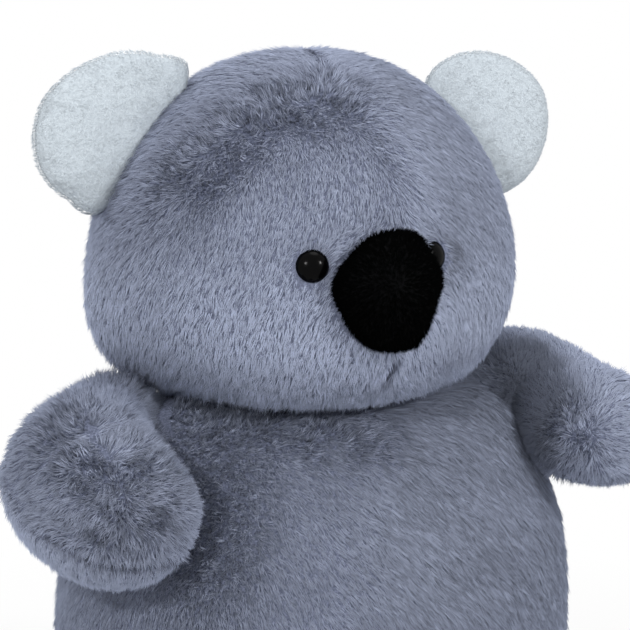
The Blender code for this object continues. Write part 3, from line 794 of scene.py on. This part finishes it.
def head_keep(points, normals):
    """Leaves out the pile under the eyes, the nose and the ears' roots, and round the neck."""
    far, _ = from_eyes(points)
    bare = (far < EYE_RADIUS - 0.2 * MM) | (from_nose(points) < 0.84)
    bare |= (neck_dome(points) > 0) & (points[:, 2] < 0.26)
    for side, _ in SIDES:
        along, across, out = from_ear(points, side)
        bare |= (np.abs(out) < 7 * MM) & (np.abs(across) < 38 * MM) & (along > -14 * MM)
    return ~bare


# Ears

EAR_LEAN, EAR_TURN = math.radians(32), math.radians(-4)
EAR_THICKNESS = 0.0205


def ear_axes(side, sign):
    """The hinge of an ear, and the ways along it, across it and out of its face."""
    turn = sign * EAR_TURN
    level = np.array([math.cos(turn), math.sin(turn), 0]) * sign
    along = level * math.cos(EAR_LEAN) + Z * math.sin(EAR_LEAN)
    face = np.array([math.sin(turn), -math.cos(turn), 0])
    return PIVOTS[side + "_ear_fold"], along, np.cross(along, face), face


EARS = {side: ear_axes(side, sign) for side, sign in SIDES}
EAR_MIDDLE, EAR_UP, EAR_DOWN, EAR_HALF = 16 * MM, 38.0 * MM, 25 * MM, 40.4 * MM
EAR_SETS = {"right": (6.0 * MM, -0.15), "left": (0.5 * MM, 0.08)}  # how far it is slid across, and sheared
EAR_ROOTS = {"right": 0.18, "left": 0.0}  # how much wider it is at its root
EAR_SEAM_TILT = 0.15


def ear_outline(turn):
    """How far an ear's outline is along and across from its middle at each turn from its tip.

    Both are powers of the turn's cosine and sine: a little pointed towards the tip, and square at the root.
    """
    high, wide = np.cos(turn), np.sin(turn)
    up = high > 0
    along = np.where(up, EAR_UP, EAR_DOWN) * np.sign(high) * np.abs(high) ** np.where(up, 1.11, 0.8)
    return along, EAR_HALF * np.sign(wide) * np.abs(wide) ** np.where(up, 1.11, 0.55)


def ear_share(points, side):
    """How far out each point is in an ear, from 0 at its middle to 1 at its outline."""
    hinge, along, across, _ = EARS[side]
    slide, shear = EAR_SETS[side]
    high = (points - hinge) @ along
    wide = (points - hinge) @ across - slide - shear * high
    high = high - EAR_MIDDLE
    return np.hypot(high / np.where(high > 0, EAR_UP, EAR_DOWN), wide / EAR_HALF)


def ear_half(side, sign, front):
    """Half of an ear: place(turn, rise), a shallow dome that closes on its flat seam.

    A point lies at the outline times the rise, up to 1, and then back to the middle. It stands out of the
    seam by the root of 1 less a power of that share. The seam is tilted, so that the pale front wraps round
    the outer edge and the grey back shows along the inner one.
    """
    hinge, along, across, face = EARS[side]
    out = face if front else -face
    slide, shear = EAR_SETS[side]
    outwards = np.sign(across[0] * sign) or 1
    inset = 0.98 if front else 0.94

    def place(turn, rise):
        reach = np.where(rise <= 1, rise, 2 - rise)
        high, wide = ear_outline(turn)
        high = EAR_MIDDLE + reach * high * inset
        wide = reach * wide * inset * (1 + EAR_ROOTS[side] * np.clip(1 - high / EAR_MIDDLE, 0, 1))
        flat = hinge + along * high[..., None] + across * (wide + slide + shear * high)[..., None]
        seam = -EAR_SEAM_TILT * wide * outwards * (1 if front else -1)
        top = EAR_THICKNESS / 2 - 1.2 * MM
        puff = 1 + 0.05 * waves(flat, 30 * MM, 3)
        dome = (top - seam) * np.sqrt(np.clip(1 - reach**2.6, 0, None)) * puff
        lift = seam + np.where(rise <= 1, dome, 0.15 * MM)
        return flat + out * lift[..., None]

    return form(place, (0.0, 2.0))


def ear_nap(side, front):
    """From the root to the rim, and a little down."""
    hinge, along, across, _ = EARS[side]

    def nap(points, normals):
        way = along * 1.0 - Z * 0.5 + (across * ((points - hinge) @ across)[:, None] / (2 * EAR_HALF) * 1.2)
        rim = np.clip((ear_share(points, side) - 0.86) / 0.10, 0, 1)
        # Painted shade: the left ear's front is darker than the right's
        shade = 0.4 * (front and side == "left")
        return way, 0.04 * rim, 1 - 0.25 * rim, 0.10 * waves(points, 30 * MM, 7) - 0.08 * rim - shade

    return nap


def make_ears():
    """The pale front and the grey back of each ear, with their pile."""
    for side, sign in SIDES:
        hinge, along, across, face = EARS[side]
        bend = (hinge - along * 9 * MM, hinge + along * 10 * MM)
        for half, front in (("front", True), ("back", False)):
            place = ear_half(side, sign, front)
            grey = not front
            body = f"{side}_ear_{half}"
            pad = skin(body + "_pad", place, 46, 96, GREY_BACKING if grey else PALE_BACKING)
            look = EAR_BACK_PILE if grey else SHORT_PALE_PILE

            def outside(points, normals):
                inner = (side == "left") & ((points - hinge) @ across < -12 * MM)
                within = ear_share(points, side) < np.where(inner, 0.97, 0.78)
                return (normals @ (face if front else -face) > -0.2) & (front | within)

            furs = pile(body, place, ear_nap(side, front), look, 41 + sign + 3 * grey, ONE_PANEL, outside)
            for made in [pad, *furs]:
                dress(made, side + "_ear", "head", bend)
            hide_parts(body)
            if front:
                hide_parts(side + "_ear_wadding")


def make_head():
    """The head's skin and pile."""
    pad = skin("head_backing", head_place, 110, 150, GREY_BACKING)
    furs = pile("head", head_place, head_nap, LONG_PILE, 11, SIX_PANELS, head_keep)
    for made in [pad, *furs]:
        dress(made, "head")
    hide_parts("head_cover", "head_filling")


# Eyes and nose


def make_eyes():
    """A smooth domed cap for each eye on its own stem, and the washer behind it.

    The outline is a quarter ellipse on a rounded edge, turned about the eye's axis.
    """
    arc = np.linspace(0, math.pi / 2, 24)[1:]
    cap = [(EYE_RADIUS * math.sin(t), EYE_EDGE + (EYE_DOME - EYE_EDGE) * math.cos(t)) for t in arc]
    cap += [(EYE_RADIUS, 0.35 * MM), (EYE_RADIUS - 0.12 * MM, 0.1 * MM), (EYE_RADIUS - 0.4 * MM, 0.0)]
    radius, high = np.concatenate([cap, EYE_STEM]).T[..., None, None]
    on_cap = np.arange(len(radius))[:, None, None] < len(cap)
    turn = np.linspace(0, math.tau, 64, endpoint=False)[:, None]
    for side, _ in SIDES:
        middle, axis = EYES[side]
        across = unit(np.cross(axis, Z))
        ring = across * np.sin(turn) + np.cross(across, axis) * np.cos(turn)
        rings = middle + EYE_SHIFTS[side] * on_cap + axis * high + ring * radius
        ends = middle + EYE_SHIFTS[side] + axis * EYE_DOME, middle + axis * EYE_STEM[-1, 1]
        made = closed_mesh(side + "_eye_cap", rings, ends, EYE_GLOSS)
        dress(made, "head")
        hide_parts(side + "_eye")
        washer = frame["nodes"][side + "_eye_washer"]
        washer.data.materials.clear()
        washer.data.materials.append(WASHER_NYLON)


def make_nose():
    """The nose's pad and its short black pile, which stands out all round."""
    whole = upright(NOSE_RINGS, NOSE_SIZE, NOSE_FOOT)

    def bowed(turn, rise):
        points = whole(turn, rise)
        high = (points[..., 2] - NOSE_MIDDLE[2]) / (NOSE_SIZE[2] / 2)
        return points + X * (NOSE_BOW * high**2)[..., None]

    place = drawn_in(form(bowed, whole.poles), 2.0 * MM)
    pad = skin("nose_pad", place, 50, 70, BLACK_BACKING)

    def nap(points, normals):
        way = (points - NOSE_MIDDLE) * np.array([1, 0, 1]) + FORWARD * 0.004 - Z * 0.004
        return unit(way), 0.2 * hump(from_nose(points), 0.6), np.ones(len(points)), np.zeros(len(points))

    def keep(points, normals):
        return (normals[:, 1] < 0.25) & (points[:, 1] < NOSE_LOW[1] + 0.024)

    furs = pile("nose", place, nap, SHORT_BLACK_PILE, 71, ONE_PANEL, keep)
    for made in [pad, *furs]:
        dress(made, "head")
    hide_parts("nose_cover", "nose_filling")


# Limbs


def arm_line(side, sign):
    """The points and radii of an arm from its root to its tip."""
    rows = np.array(ARM_STATIONS[side])
    points = PIVOTS[side + "_arm_open"] + rows[:, :3] * [sign * ARM_REACH, -ARM_CURL, -ARM_DROP]
    return points, rows[:, 3] * ARM_RADIUS


def leg_way(sign):
    """The level way of a leg from its hip."""
    return np.array([sign * math.sin(LEG_SPLAY), -math.cos(LEG_SPLAY), 0])


def leg_line(side, sign):
    """The points and radii of a leg from its root to its tip."""
    hip = PIVOTS[side + "_leg_splay"]
    rows = np.array(LEG_STATIONS)
    radii = rows[:, 1] * LEG_RADIUS
    level = np.concatenate([radii[1:2], radii[1:-1], radii[-2:-1]]) - 0.5 * MM
    points = np.array([hip[0], hip[1], 0]) + leg_way(sign) * (rows[:, :1] * LEG_LENGTH) + Z * level[:, None]
    return points, radii


LIMBS = {}
for side, sign in SIDES:
    LIMBS[side + "_arm"] = limb(*arm_line(side, sign), ARM_FLATNESS[side])
    LIMBS[side + "_leg"] = limb(*leg_line(side, sign))


def inside_limb(points, place, margin):
    """Whether each point is nearer the limb's middle line than its radius there less the margin."""
    low, high = place.poles
    rises = np.linspace(low + 0.05, high - 0.05, 40)
    ring = place(np.array([[0.0], [math.pi]]), rises[None])
    line = ring.mean(0)
    radius = np.linalg.norm(ring[0] - ring[1], axis=-1) / 2
    found = np.zeros(len(points), bool)
    for middle, reach in zip(line, radius):
        found |= ((points - middle) ** 2).sum(1) < max(reach - margin, 0) ** 2
    return found


ARM_SEAM = in_mm(
    (-160.0, -18.0, 212.0),
    (-167.9, -45.2, 203.9),
    (-164.8, -65.4, 193.7),
    (-157.4, -80.6, 190.0),
    (-142.1, -90.1, 180.3),
    (-124.4, -93.8, 175.9),
    (-97.5, -90.8, 176.0),
)
ARM_DENT = in_mm((-86.0, -42.0, 234.0), (-88.0, -70.0, 226.0))
LEFT_SEAM_SHIFT = in_mm(6.0, 6.0, 14.0)


def arm_seam(points, side):
    """The distance of each point of an arm from the seam round its lower panel, below zero under the seam."""
    path = ARM_SEAM if side == "right" else ARM_SEAM * [-1, 1, 1] + LEFT_SEAM_SHIFT
    far, way = from_path(points, path)
    return far * np.clip(2 * way[..., 2], -1, 1)


def below_seam(over, soft):
    """A soft step from 1 below a seam to 0 over it."""
    return 1 / (1 + np.exp(np.clip(over / soft, -30, 30)))


def arm_place(side):
    """The skin of an arm, drawn in by the pile's lay, and more below the seam, which it overhangs."""

    def depth(points, normals):
        over = arm_seam(points, side)
        ahead = np.clip((PIVOTS[side + "_arm_open"][1] - 0.02 - points[..., 1]) / 0.02, 0, 1)
        dent = 9.5 * MM * near(points, ARM_DENT, 17 * MM)
        deep = ahead * np.clip((np.abs(points[..., 0]) - 0.105) / 0.015, 0.2, 1)
        lip = 1.8 * MM * hump(over - 4 * MM, 4 * MM)
        step = 1.0 * MM * below_seam(over, 0.6 * MM)
        return LAY + dent + (step + 3.0 * MM * hump(over, 2.0 * MM) - lip) * deep

    return drawn_in(LIMBS[side + "_arm"], depth)


ARM_WHORLS = {
    "right": in_mm((-134.9, -63.6, 241.4), (-135.1, -81.9, 232.3), (-132.7, -91.2, 222.5), (-127.2, -98.3, 208.9)),
    "left": in_mm((105.5, -77.5, 214.5), (107.4, -80.1, 211.8)),
}
# Paths along each arm's inner side, beside the torso and under the head, where the pile stands and is painted with
# their shadow
ARM_SHADES = {
    "right": in_mm((-104.0, -20.0, 247.0), (-91.0, -34.0, 242.0), (-88.0, -54.0, 229.0), (-96.0, -78.0, 222.0)),
    "left": in_mm((102.9, -44.7, 242.0), (102.5, -52.3, 235.7), (100.3, -61.7, 227.5), (95.5, -61.3, 208.1)),
}
# The width of an arm's whorl, its tone, the painted shade of its standing whorl and of its inner side, where the
# torso and head shadow it, and how sleek it is
ARM_LOOKS = {"right": (25 * MM, -0.22, 0.48, 0.50, 0), "left": (14 * MM, -0.10, -0.10, 1.75, 0.08)}


def arm_nap(side):
    """Away from the whorl on the mitt, where the pile stands up, and down below the seam."""
    width, base, whorl, shade, sleek = ARM_LOOKS[side]

    def nap(points, normals):
        far, away = from_path(points, ARM_WHORLS[side])
        over = arm_seam(points, side)
        below = below_seam(over, 1.5 * MM)
        whorled = np.clip(1.4 * hump(far, width), 0, 1)
        away = unit(away - normals * dot(away, normals))
        away = turned(away, normals, (0.5 + 0.7 * whorled) * waves(points, 19 * MM, 19))
        way = away * (1 - below)[:, None] + np.array([0, 0.25, -0.15]) - Z * (1.6 * below)[:, None]
        inner = near(points, ARM_SHADES[side], 16 * MM)
        blotch = 0.62 + 0.50 * waves(points, 15 * MM, 9)
        edge = hump(over - 1.5 * MM, 3 * MM)
        stand = np.clip(whorled * blotch + 0.6 * edge + 0.7 * inner, 0, 1) * (1 - 0.5 * below)
        # Painted shade: a dark line in the groove of the seam
        tint = base + 0.25 * below + 0.1 * edge - 0.9 * hump(over + 0.5 * MM, 2 * MM)
        # Painted shade on the whorl's standing pile, and painted shadow on the inner side beside the torso and head
        tint -= whorl * whorled * blotch + shade * inner * (0.7 + 0.3 * blotch)
        return way, stand - sleek * (1 - whorled) * (1 - inner), 1 + 0.05 * whorled, tint

    return nap


def make_arms():
    """Both arms, with their backing and pile."""
    for side, sign in SIDES:
        name = side + "_arm"
        place = arm_place(side)
        shoulder = PIVOTS[name + "_open"]
        ahead = np.array([sign * 0.6, -0.8, 0])
        bend = (shoulder - ahead * 12 * MM, shoulder + ahead * 20 * MM)
        pad = skin(name + "_backing", place, 80, 100, GREY_BACKING, (0.9, place.poles[1]))

        def keep(points, normals):
            return ~inside_torso(points, 1.5 * MM) & ~inside_head(points, 1.0 * MM)

        furs = pile(name, place, arm_nap(side), LONG_PILE, 101 + sign, ONE_PANEL, keep)
        for made in [pad, *furs]:
            dress(made, name, "torso", bend)
        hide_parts(name + "_cover", name + "_filling")


def make_legs():
    """Both legs with their soles, and their pile."""
    for side, sign in SIDES:
        name = side + "_leg"
        hip, ahead = PIVOTS[name + "_splay"], leg_way(sign)
        middle, seam = hip + ahead * LEG_LENGTH, hip + ahead * (LEG_LENGTH - 9 * MM)
        bend = (hip - ahead * 6 * MM, hip + ahead * 22 * MM)

        def ring_seam(points):
            return hump((points - seam) @ ahead, 2.0 * MM)

        def depth(points, normals):
            return LAY + 1.8 * MM * ring_seam(points)

        above_floor = drawn_in(LIMBS[name], depth)

        def place(turn, rise):
            points = above_floor(turn, rise)
            points[..., 2] = np.maximum(points[..., 2], 1.5 * MM)
            return points

        form(place, above_floor.poles)
        rises = np.linspace(0.1, 6, 200)
        reached = (place(np.zeros(200), rises) - hip) @ ahead
        seam_rise = float(np.interp((seam - hip) @ ahead, reached, rises))
        leg = skin(name + "_backing", place, 44, 80, GREY_BACKING, (0.7, seam_rise))
        sole = skin(side + "_sole_backing", place, 24, 80, GREY_BACKING, (seam_rise, place.poles[1]))

        def nap(points, normals):
            on_sole = np.clip(((points - middle) @ ahead + 8 * MM) / (3 * MM), 0, 1)[:, None]
            away = points - middle
            away = away - dot(away, ahead) * ahead
            way = ahead * (1 - on_sole) * 0.9 - Z * 0.5 + unit(away) * on_sole * 1.2
            stand = 0.7 * on_sole[:, 0] * hump(np.linalg.norm(away, axis=-1), 22 * MM)
            # Painted shade: darker where the sole's pile stands and in the crease of the ring seam
            return way, stand, np.ones(len(points)), -0.1 * stand - 0.1 * ring_seam(points)

        def keep(points, normals):
            return ~inside_torso(points, 1.5 * MM) & (points[:, 2] > 2.0 * MM) & (normals[:, 2] > -0.9)

        furs = pile(name, place, nap, LONG_PILE, 131 + sign, ONE_PANEL, keep)
        for made in [leg, sole, *furs]:
            settle(made)
            dress(made, name, "torso", bend)
        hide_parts(name + "_cover", name + "_filling")
        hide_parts(side + "_sole")


def settle(made):
    """Lays what would go through the floor on it."""
    points = np.empty(len(made.data.vertices) * 3, np.float32)
    made.data.vertices.foreach_get("co", points)
    points[2::3] = np.maximum(points[2::3], 0.2 * MM)
    made.data.vertices.foreach_set("co", points)
    made.data.update()


# Torso

TORSO_WHOLE = upright(TORSO_RINGS, TORSO_SIZE, TORSO_FOOT)
SEAT_GAP = 1.5 * MM
NOD = math.radians(4)


def under_head():
    """The head's skin from its lowest point up to its widest, as shares of its half-width and heights."""
    rises = np.linspace(0.02, 3, 80)
    points = HEAD_SKIN(np.full(80, math.pi / 2), rises)
    shares = np.abs(points[:, 0]) / (HEAD_SIZE[0] / 2)
    rising = shares < shares.max()
    return shares[rising], points[rising, 2]


UNDER_SHARES, UNDER_HEIGHTS = under_head()


def seat_height(points):
    """The height of the head's seat at each point: under the head's skin by a gap that lets it nod."""
    across = points[..., 0] / (HEAD_SIZE[0] / 2)
    ahead = (points[..., 1] - HEAD_FOOT[1]) / (HEAD_SIZE[1] / 2)
    under = np.interp(np.hypot(across, ahead), UNDER_SHARES, UNDER_HEIGHTS, right=9.0)
    return under - SEAT_GAP - np.abs(points[..., 1] - HEAD_FOOT[1]) * math.sin(NOD)


FLANK = in_mm(112.0, -24.0, 168.0)
LEFT_ARMPIT = in_mm(100.0, -45.0, 222.0)
SHOULDER = in_mm(89.0, -32.0, 223.0)


def torso_depth(points, normals):
    """The pile's lay, less where the torso is fuller: at both shoulders and at the left flank."""
    aside = points * np.array([-1, 1, 1])
    fuller = 15 * MM * (near(points, SHOULDER, 30 * MM) + near(aside, SHOULDER, 30 * MM))
    return LAY - fuller - 8.0 * MM * near(points, FLANK, 46 * MM)


TORSO_SKIN = drawn_in(TORSO_WHOLE, torso_depth)


def torso_place(turn, rise):
    """The torso's skin with the head's seat in its top, hollowed where the neck's ball reaches into it.

    The skin and the seat are joined by a smooth lower bound: the height less a softness times the logarithm
    of 1 plus e to the height over the seat in that softness.
    """
    points = TORSO_SKIN(turn, rise)
    soft = 1.2 * MM
    over = np.clip((points[..., 2] - seat_height(points)) / soft, -30, 30)
    points[..., 2] -= soft * np.log1p(np.exp(over))
    hollow = np.where(neck_dome(points) > 0, NECK[2] - neck_dome(points), 9)
    points[..., 2] = np.minimum(points[..., 2], hollow)
    return points


form(torso_place, TORSO_WHOLE.poles)


def inside_form(points, whole, margin):
    """Whether each point is inside an upright form by the margin.

    At the point's height, it is inside where its distance from the form's middle line is under the reach that
    the form has in the same direction, found on a table of turns by heights.
    """
    turns, rises = np.meshgrid(np.linspace(0, math.tau, 181), np.linspace(0.02, whole.poles[1] - 0.02, 161))
    table = whole(turns, rises)
    middle = table.mean(1)[:, :2]
    low, high = table[:, :, 2].min(), table[:, :, 2].max()
    row = np.interp(points[:, 2], table[:, 0, 2], np.arange(161))
    first = row.astype(int)
    centre = middle[first]
    away = points[:, :2] - centre
    turn = np.arctan2(away[:, 0], -away[:, 1]) % math.tau
    column = (turn / math.tau * 180).astype(int)
    reach = np.linalg.norm(table[first, column, :2] - centre, axis=-1)
    within = (points[:, 2] > low + margin) & (points[:, 2] < high - margin)
    return within & (np.linalg.norm(away, axis=-1) < reach - margin)


def inside_torso(points, margin):
    """Whether each point is inside the torso's skin by the margin."""
    return inside_form(points, TORSO_WHOLE, LAY + margin)


def inside_head(points, margin):
    """Whether each point is inside the head's skin by the margin."""
    return inside_form(points, head_outer, LAY + margin)


# The path beside the right arm where the torso's pile is ruffled and painted with the arm's shadow
RUFFLED_IN_ARM_SHADOW = in_mm((-72.0, -18.0, 230.0), (-71.5, -48.0, 216.0), (-73.4, -67.8, 196.0), (-84.4, -76.5, 171.0))
UNDER_CHIN = in_mm((-49.0, -40.0, 228.0), (-24.6, -60.0, 224.0), (2.0, -66.0, 222.0))


def torso_nap(points, normals):
    """Down, and to the koala's left over the belly, ruffled beside the right arm and under the chin."""
    way = -Z + X * 0.55 * hump(points[:, :1] - 0.02, 0.12) * (points[:, 1:2] < 0)
    beside, under = near(points, RUFFLED_IN_ARM_SHADOW, 26 * MM), near(points, UNDER_CHIN, 17 * MM)
    smooth = 0.22 * np.clip((points[:, 0] + 0.03) / 0.05, 0, 1) * (points[:, 1] < 0) * (1 - under)
    stand = np.clip(0.75 * beside + under * (0.6 + 0.4 * waves(points, 16 * MM, 15)), 0, 1) - smooth
    blotch = 0.6 + 0.4 * waves(points, 24 * MM, 25)
    # Painted shade: the whole torso is darker than the head, as in its shade, and darker still beside the right arm,
    # under the chin and in the left armpit, where shadow falls
    tint = -0.38 - 0.34 * beside - 0.40 * under * blotch - 0.9 * smooth - 0.3 * near(points, LEFT_ARMPIT, 24 * MM)
    return way, stand, np.ones(len(points)) + smooth, tint


def torso_keep(points, normals):
    """Leaves out the pile under the head, at the roots of the limbs and on the base."""
    bare = (points[:, 2] > 0.15) & (apart(points[:, :2], np.array(HEAD_FOOT[:2])) < 0.038)
    for place in LIMBS.values():
        bare |= inside_limb(points, place, LAY + 2.5 * MM)
    return ~bare & (points[:, 2] > 5.2 * MM)


BASE_RISE = 0.42  # where the base panel's seam is


def make_torso():
    """The torso's skin and pile, its base panel, and the ball of the neck."""
    pad = skin("torso_backing", torso_place, 120, 160, GREY_BACKING, (BASE_RISE, torso_place.poles[1]))
    base = skin("base_backing", drawn_in(TORSO_WHOLE, 1.2 * MM), 16, 160, GREY_BACKING, (0.0, BASE_RISE))
    furs = pile("torso", torso_place, torso_nap, LONG_PILE, 17, SIX_PANELS, torso_keep)
    for made in [pad, base, *furs]:
        settle(made)
        if made is base:
            dress(made, "torso")
        else:
            dress(made, "neck", "torso", (NECK - Z * 27 * MM, NECK + Z * 1 * MM))
    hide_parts("torso_cover", "torso_filling")
    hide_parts("base_panel")
    radius = NECK_RADIUS - 2.5 * MM
    turn, rise = np.meshgrid(np.linspace(0, math.tau, 48, endpoint=False), np.linspace(0, math.pi, 26)[1:-1])
    ball = np.stack([np.sin(rise) * np.sin(turn), -np.sin(rise) * np.cos(turn), np.cos(rise)], -1)
    wad = closed_mesh("neck_wad", NECK + ball * radius, (NECK + Z * radius, NECK - Z * radius), FIBRE)
    dress(wad, "neck")
    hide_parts("neck_filling")


make_head()
make_ears()
make_eyes()
make_nose()
make_torso()
make_arms()
make_legs()


# Room

WORLD_LIGHT = 0.56
CHEST = Vector((0, 0, 0.27))
FOCUS = np.array([0, 0, 0.310])
CAMERA_AZIMUTH, CAMERA_ELEVATION, CAMERA_DISTANCE, CAMERA_LENS = -24, 7, 1.2, 139.95
PIXEL_MM = 0.49  # the photograph's, at the middle of the head


def way_of(azimuth, elevation):
    """The way from the koala to an azimuth, with 0 in front, and an elevation, both in degrees."""
    turn, rise = math.radians(azimuth), math.radians(elevation)
    return np.array([math.sin(turn) * math.cos(rise), -math.cos(turn) * math.cos(rise), math.sin(rise)])


def linked(name, data):
    """A new object of the scene with this lamp or camera."""
    made = bpy.data.objects.new(name, data)
    bpy.context.scene.collection.objects.link(made)
    return made


def soft_light(name, azimuth, elevation, distance, width, power):
    """A round soft lamp that faces the koala's chest from an azimuth and an elevation."""
    data = bpy.data.lights.new(name, "AREA")
    data.shape, data.energy, data.size = "DISK", power, width
    lamp, way = linked(name, data), Vector(way_of(azimuth, elevation))
    lamp.location = CHEST + way * distance
    lamp.rotation_euler = (-way).to_track_quat("-Z", "Y").to_euler()


def seen_rays(tree, strength):
    """The strength for rays that show the background, which are camera, glossy and transmission rays, else 0."""
    path, total = add_node(tree, "LightPath", {}), 0
    for kind in ("Is Camera Ray", "Is Glossy Ray", "Is Transmission Ray"):
        total = add_node(tree, "Math", {0: path[kind], 1: total}, "MAXIMUM")[0]
    return add_node(tree, "Math", {0: total, 1: strength}, "MULTIPLY")[0]


def floor_material():
    """Pale ground with the object's shadow near it, which turns to plain white further out."""
    material, tree, shader = tree_of("floor_white")
    feed(tree, shader, {"Base Color": (0.9, 0.9, 0.9, 1), "Roughness": 0.9})
    spot = add_node(tree, "TexCoord", {})
    far = add_node(tree, "VectorMath", {0: spot["Object"]}, "LENGTH")
    ends = {"From Min": 0.25, "From Max": 0.6, "To Min": 0.6, "To Max": 1.0}
    share = add_node(tree, "MapRange", {"Value": far["Value"], **ends})
    glow = add_node(tree, "Emission", {})
    mixed = add_node(tree, "MixShader", {0: seen_rays(tree, share[0]), 1: shader.outputs[0], 2: glow[0]})
    feed(tree, tree.nodes["Material Output"], {0: mixed[0]})
    return material


def make_room():
    """A pale floor, a plain pale world, soft lamps and the photograph's camera."""
    bpy.ops.mesh.primitive_plane_add(size=30, location=(0, 0, -0.0002))
    floor = bpy.context.object
    floor.name = "floor"
    floor.data.materials.append(floor_material())

    world = bpy.data.worlds.new("studio")
    bpy.context.scene.world = world
    world.use_nodes = True
    tree = world.node_tree
    bright = add_node(tree, "Math", {0: seen_rays(tree, 1 - WORLD_LIGHT), 1: WORLD_LIGHT}, "ADD")
    feed(tree, tree.nodes["Background"], {0: (1, 1, 1, 1), 1: bright[0]})
    soft_light("key_right", -53, 27, 1.8, 0.24, 11)
    soft_light("key_left", 25, 27, 1.8, 0.24, 13)
    soft_light("top", 60, 80, 1.6, 0.9, 6)
    soft_light("back", 160, 35, 1.8, 0.9, 5)

    data = bpy.data.cameras.new("photo_camera")
    data.lens, data.sensor_width = CAMERA_LENS, 36
    camera = linked("photo_camera", data)
    turn, back = math.radians(CAMERA_AZIMUTH), way_of(CAMERA_AZIMUTH, CAMERA_ELEVATION)
    right = np.array([math.cos(turn), math.sin(turn), 0])
    aim = FOCUS + right * 14 * PIXEL_MM * MM - np.cross(back, right) * 86 * PIXEL_MM * MM
    camera.location = FOCUS + back * CAMERA_DISTANCE
    camera.rotation_euler = (Vector(aim) - camera.location).to_track_quat("-Z", "Y").to_euler()
    bpy.context.scene.camera = camera
    bpy.context.scene.view_settings.view_transform = "Standard"


make_room()
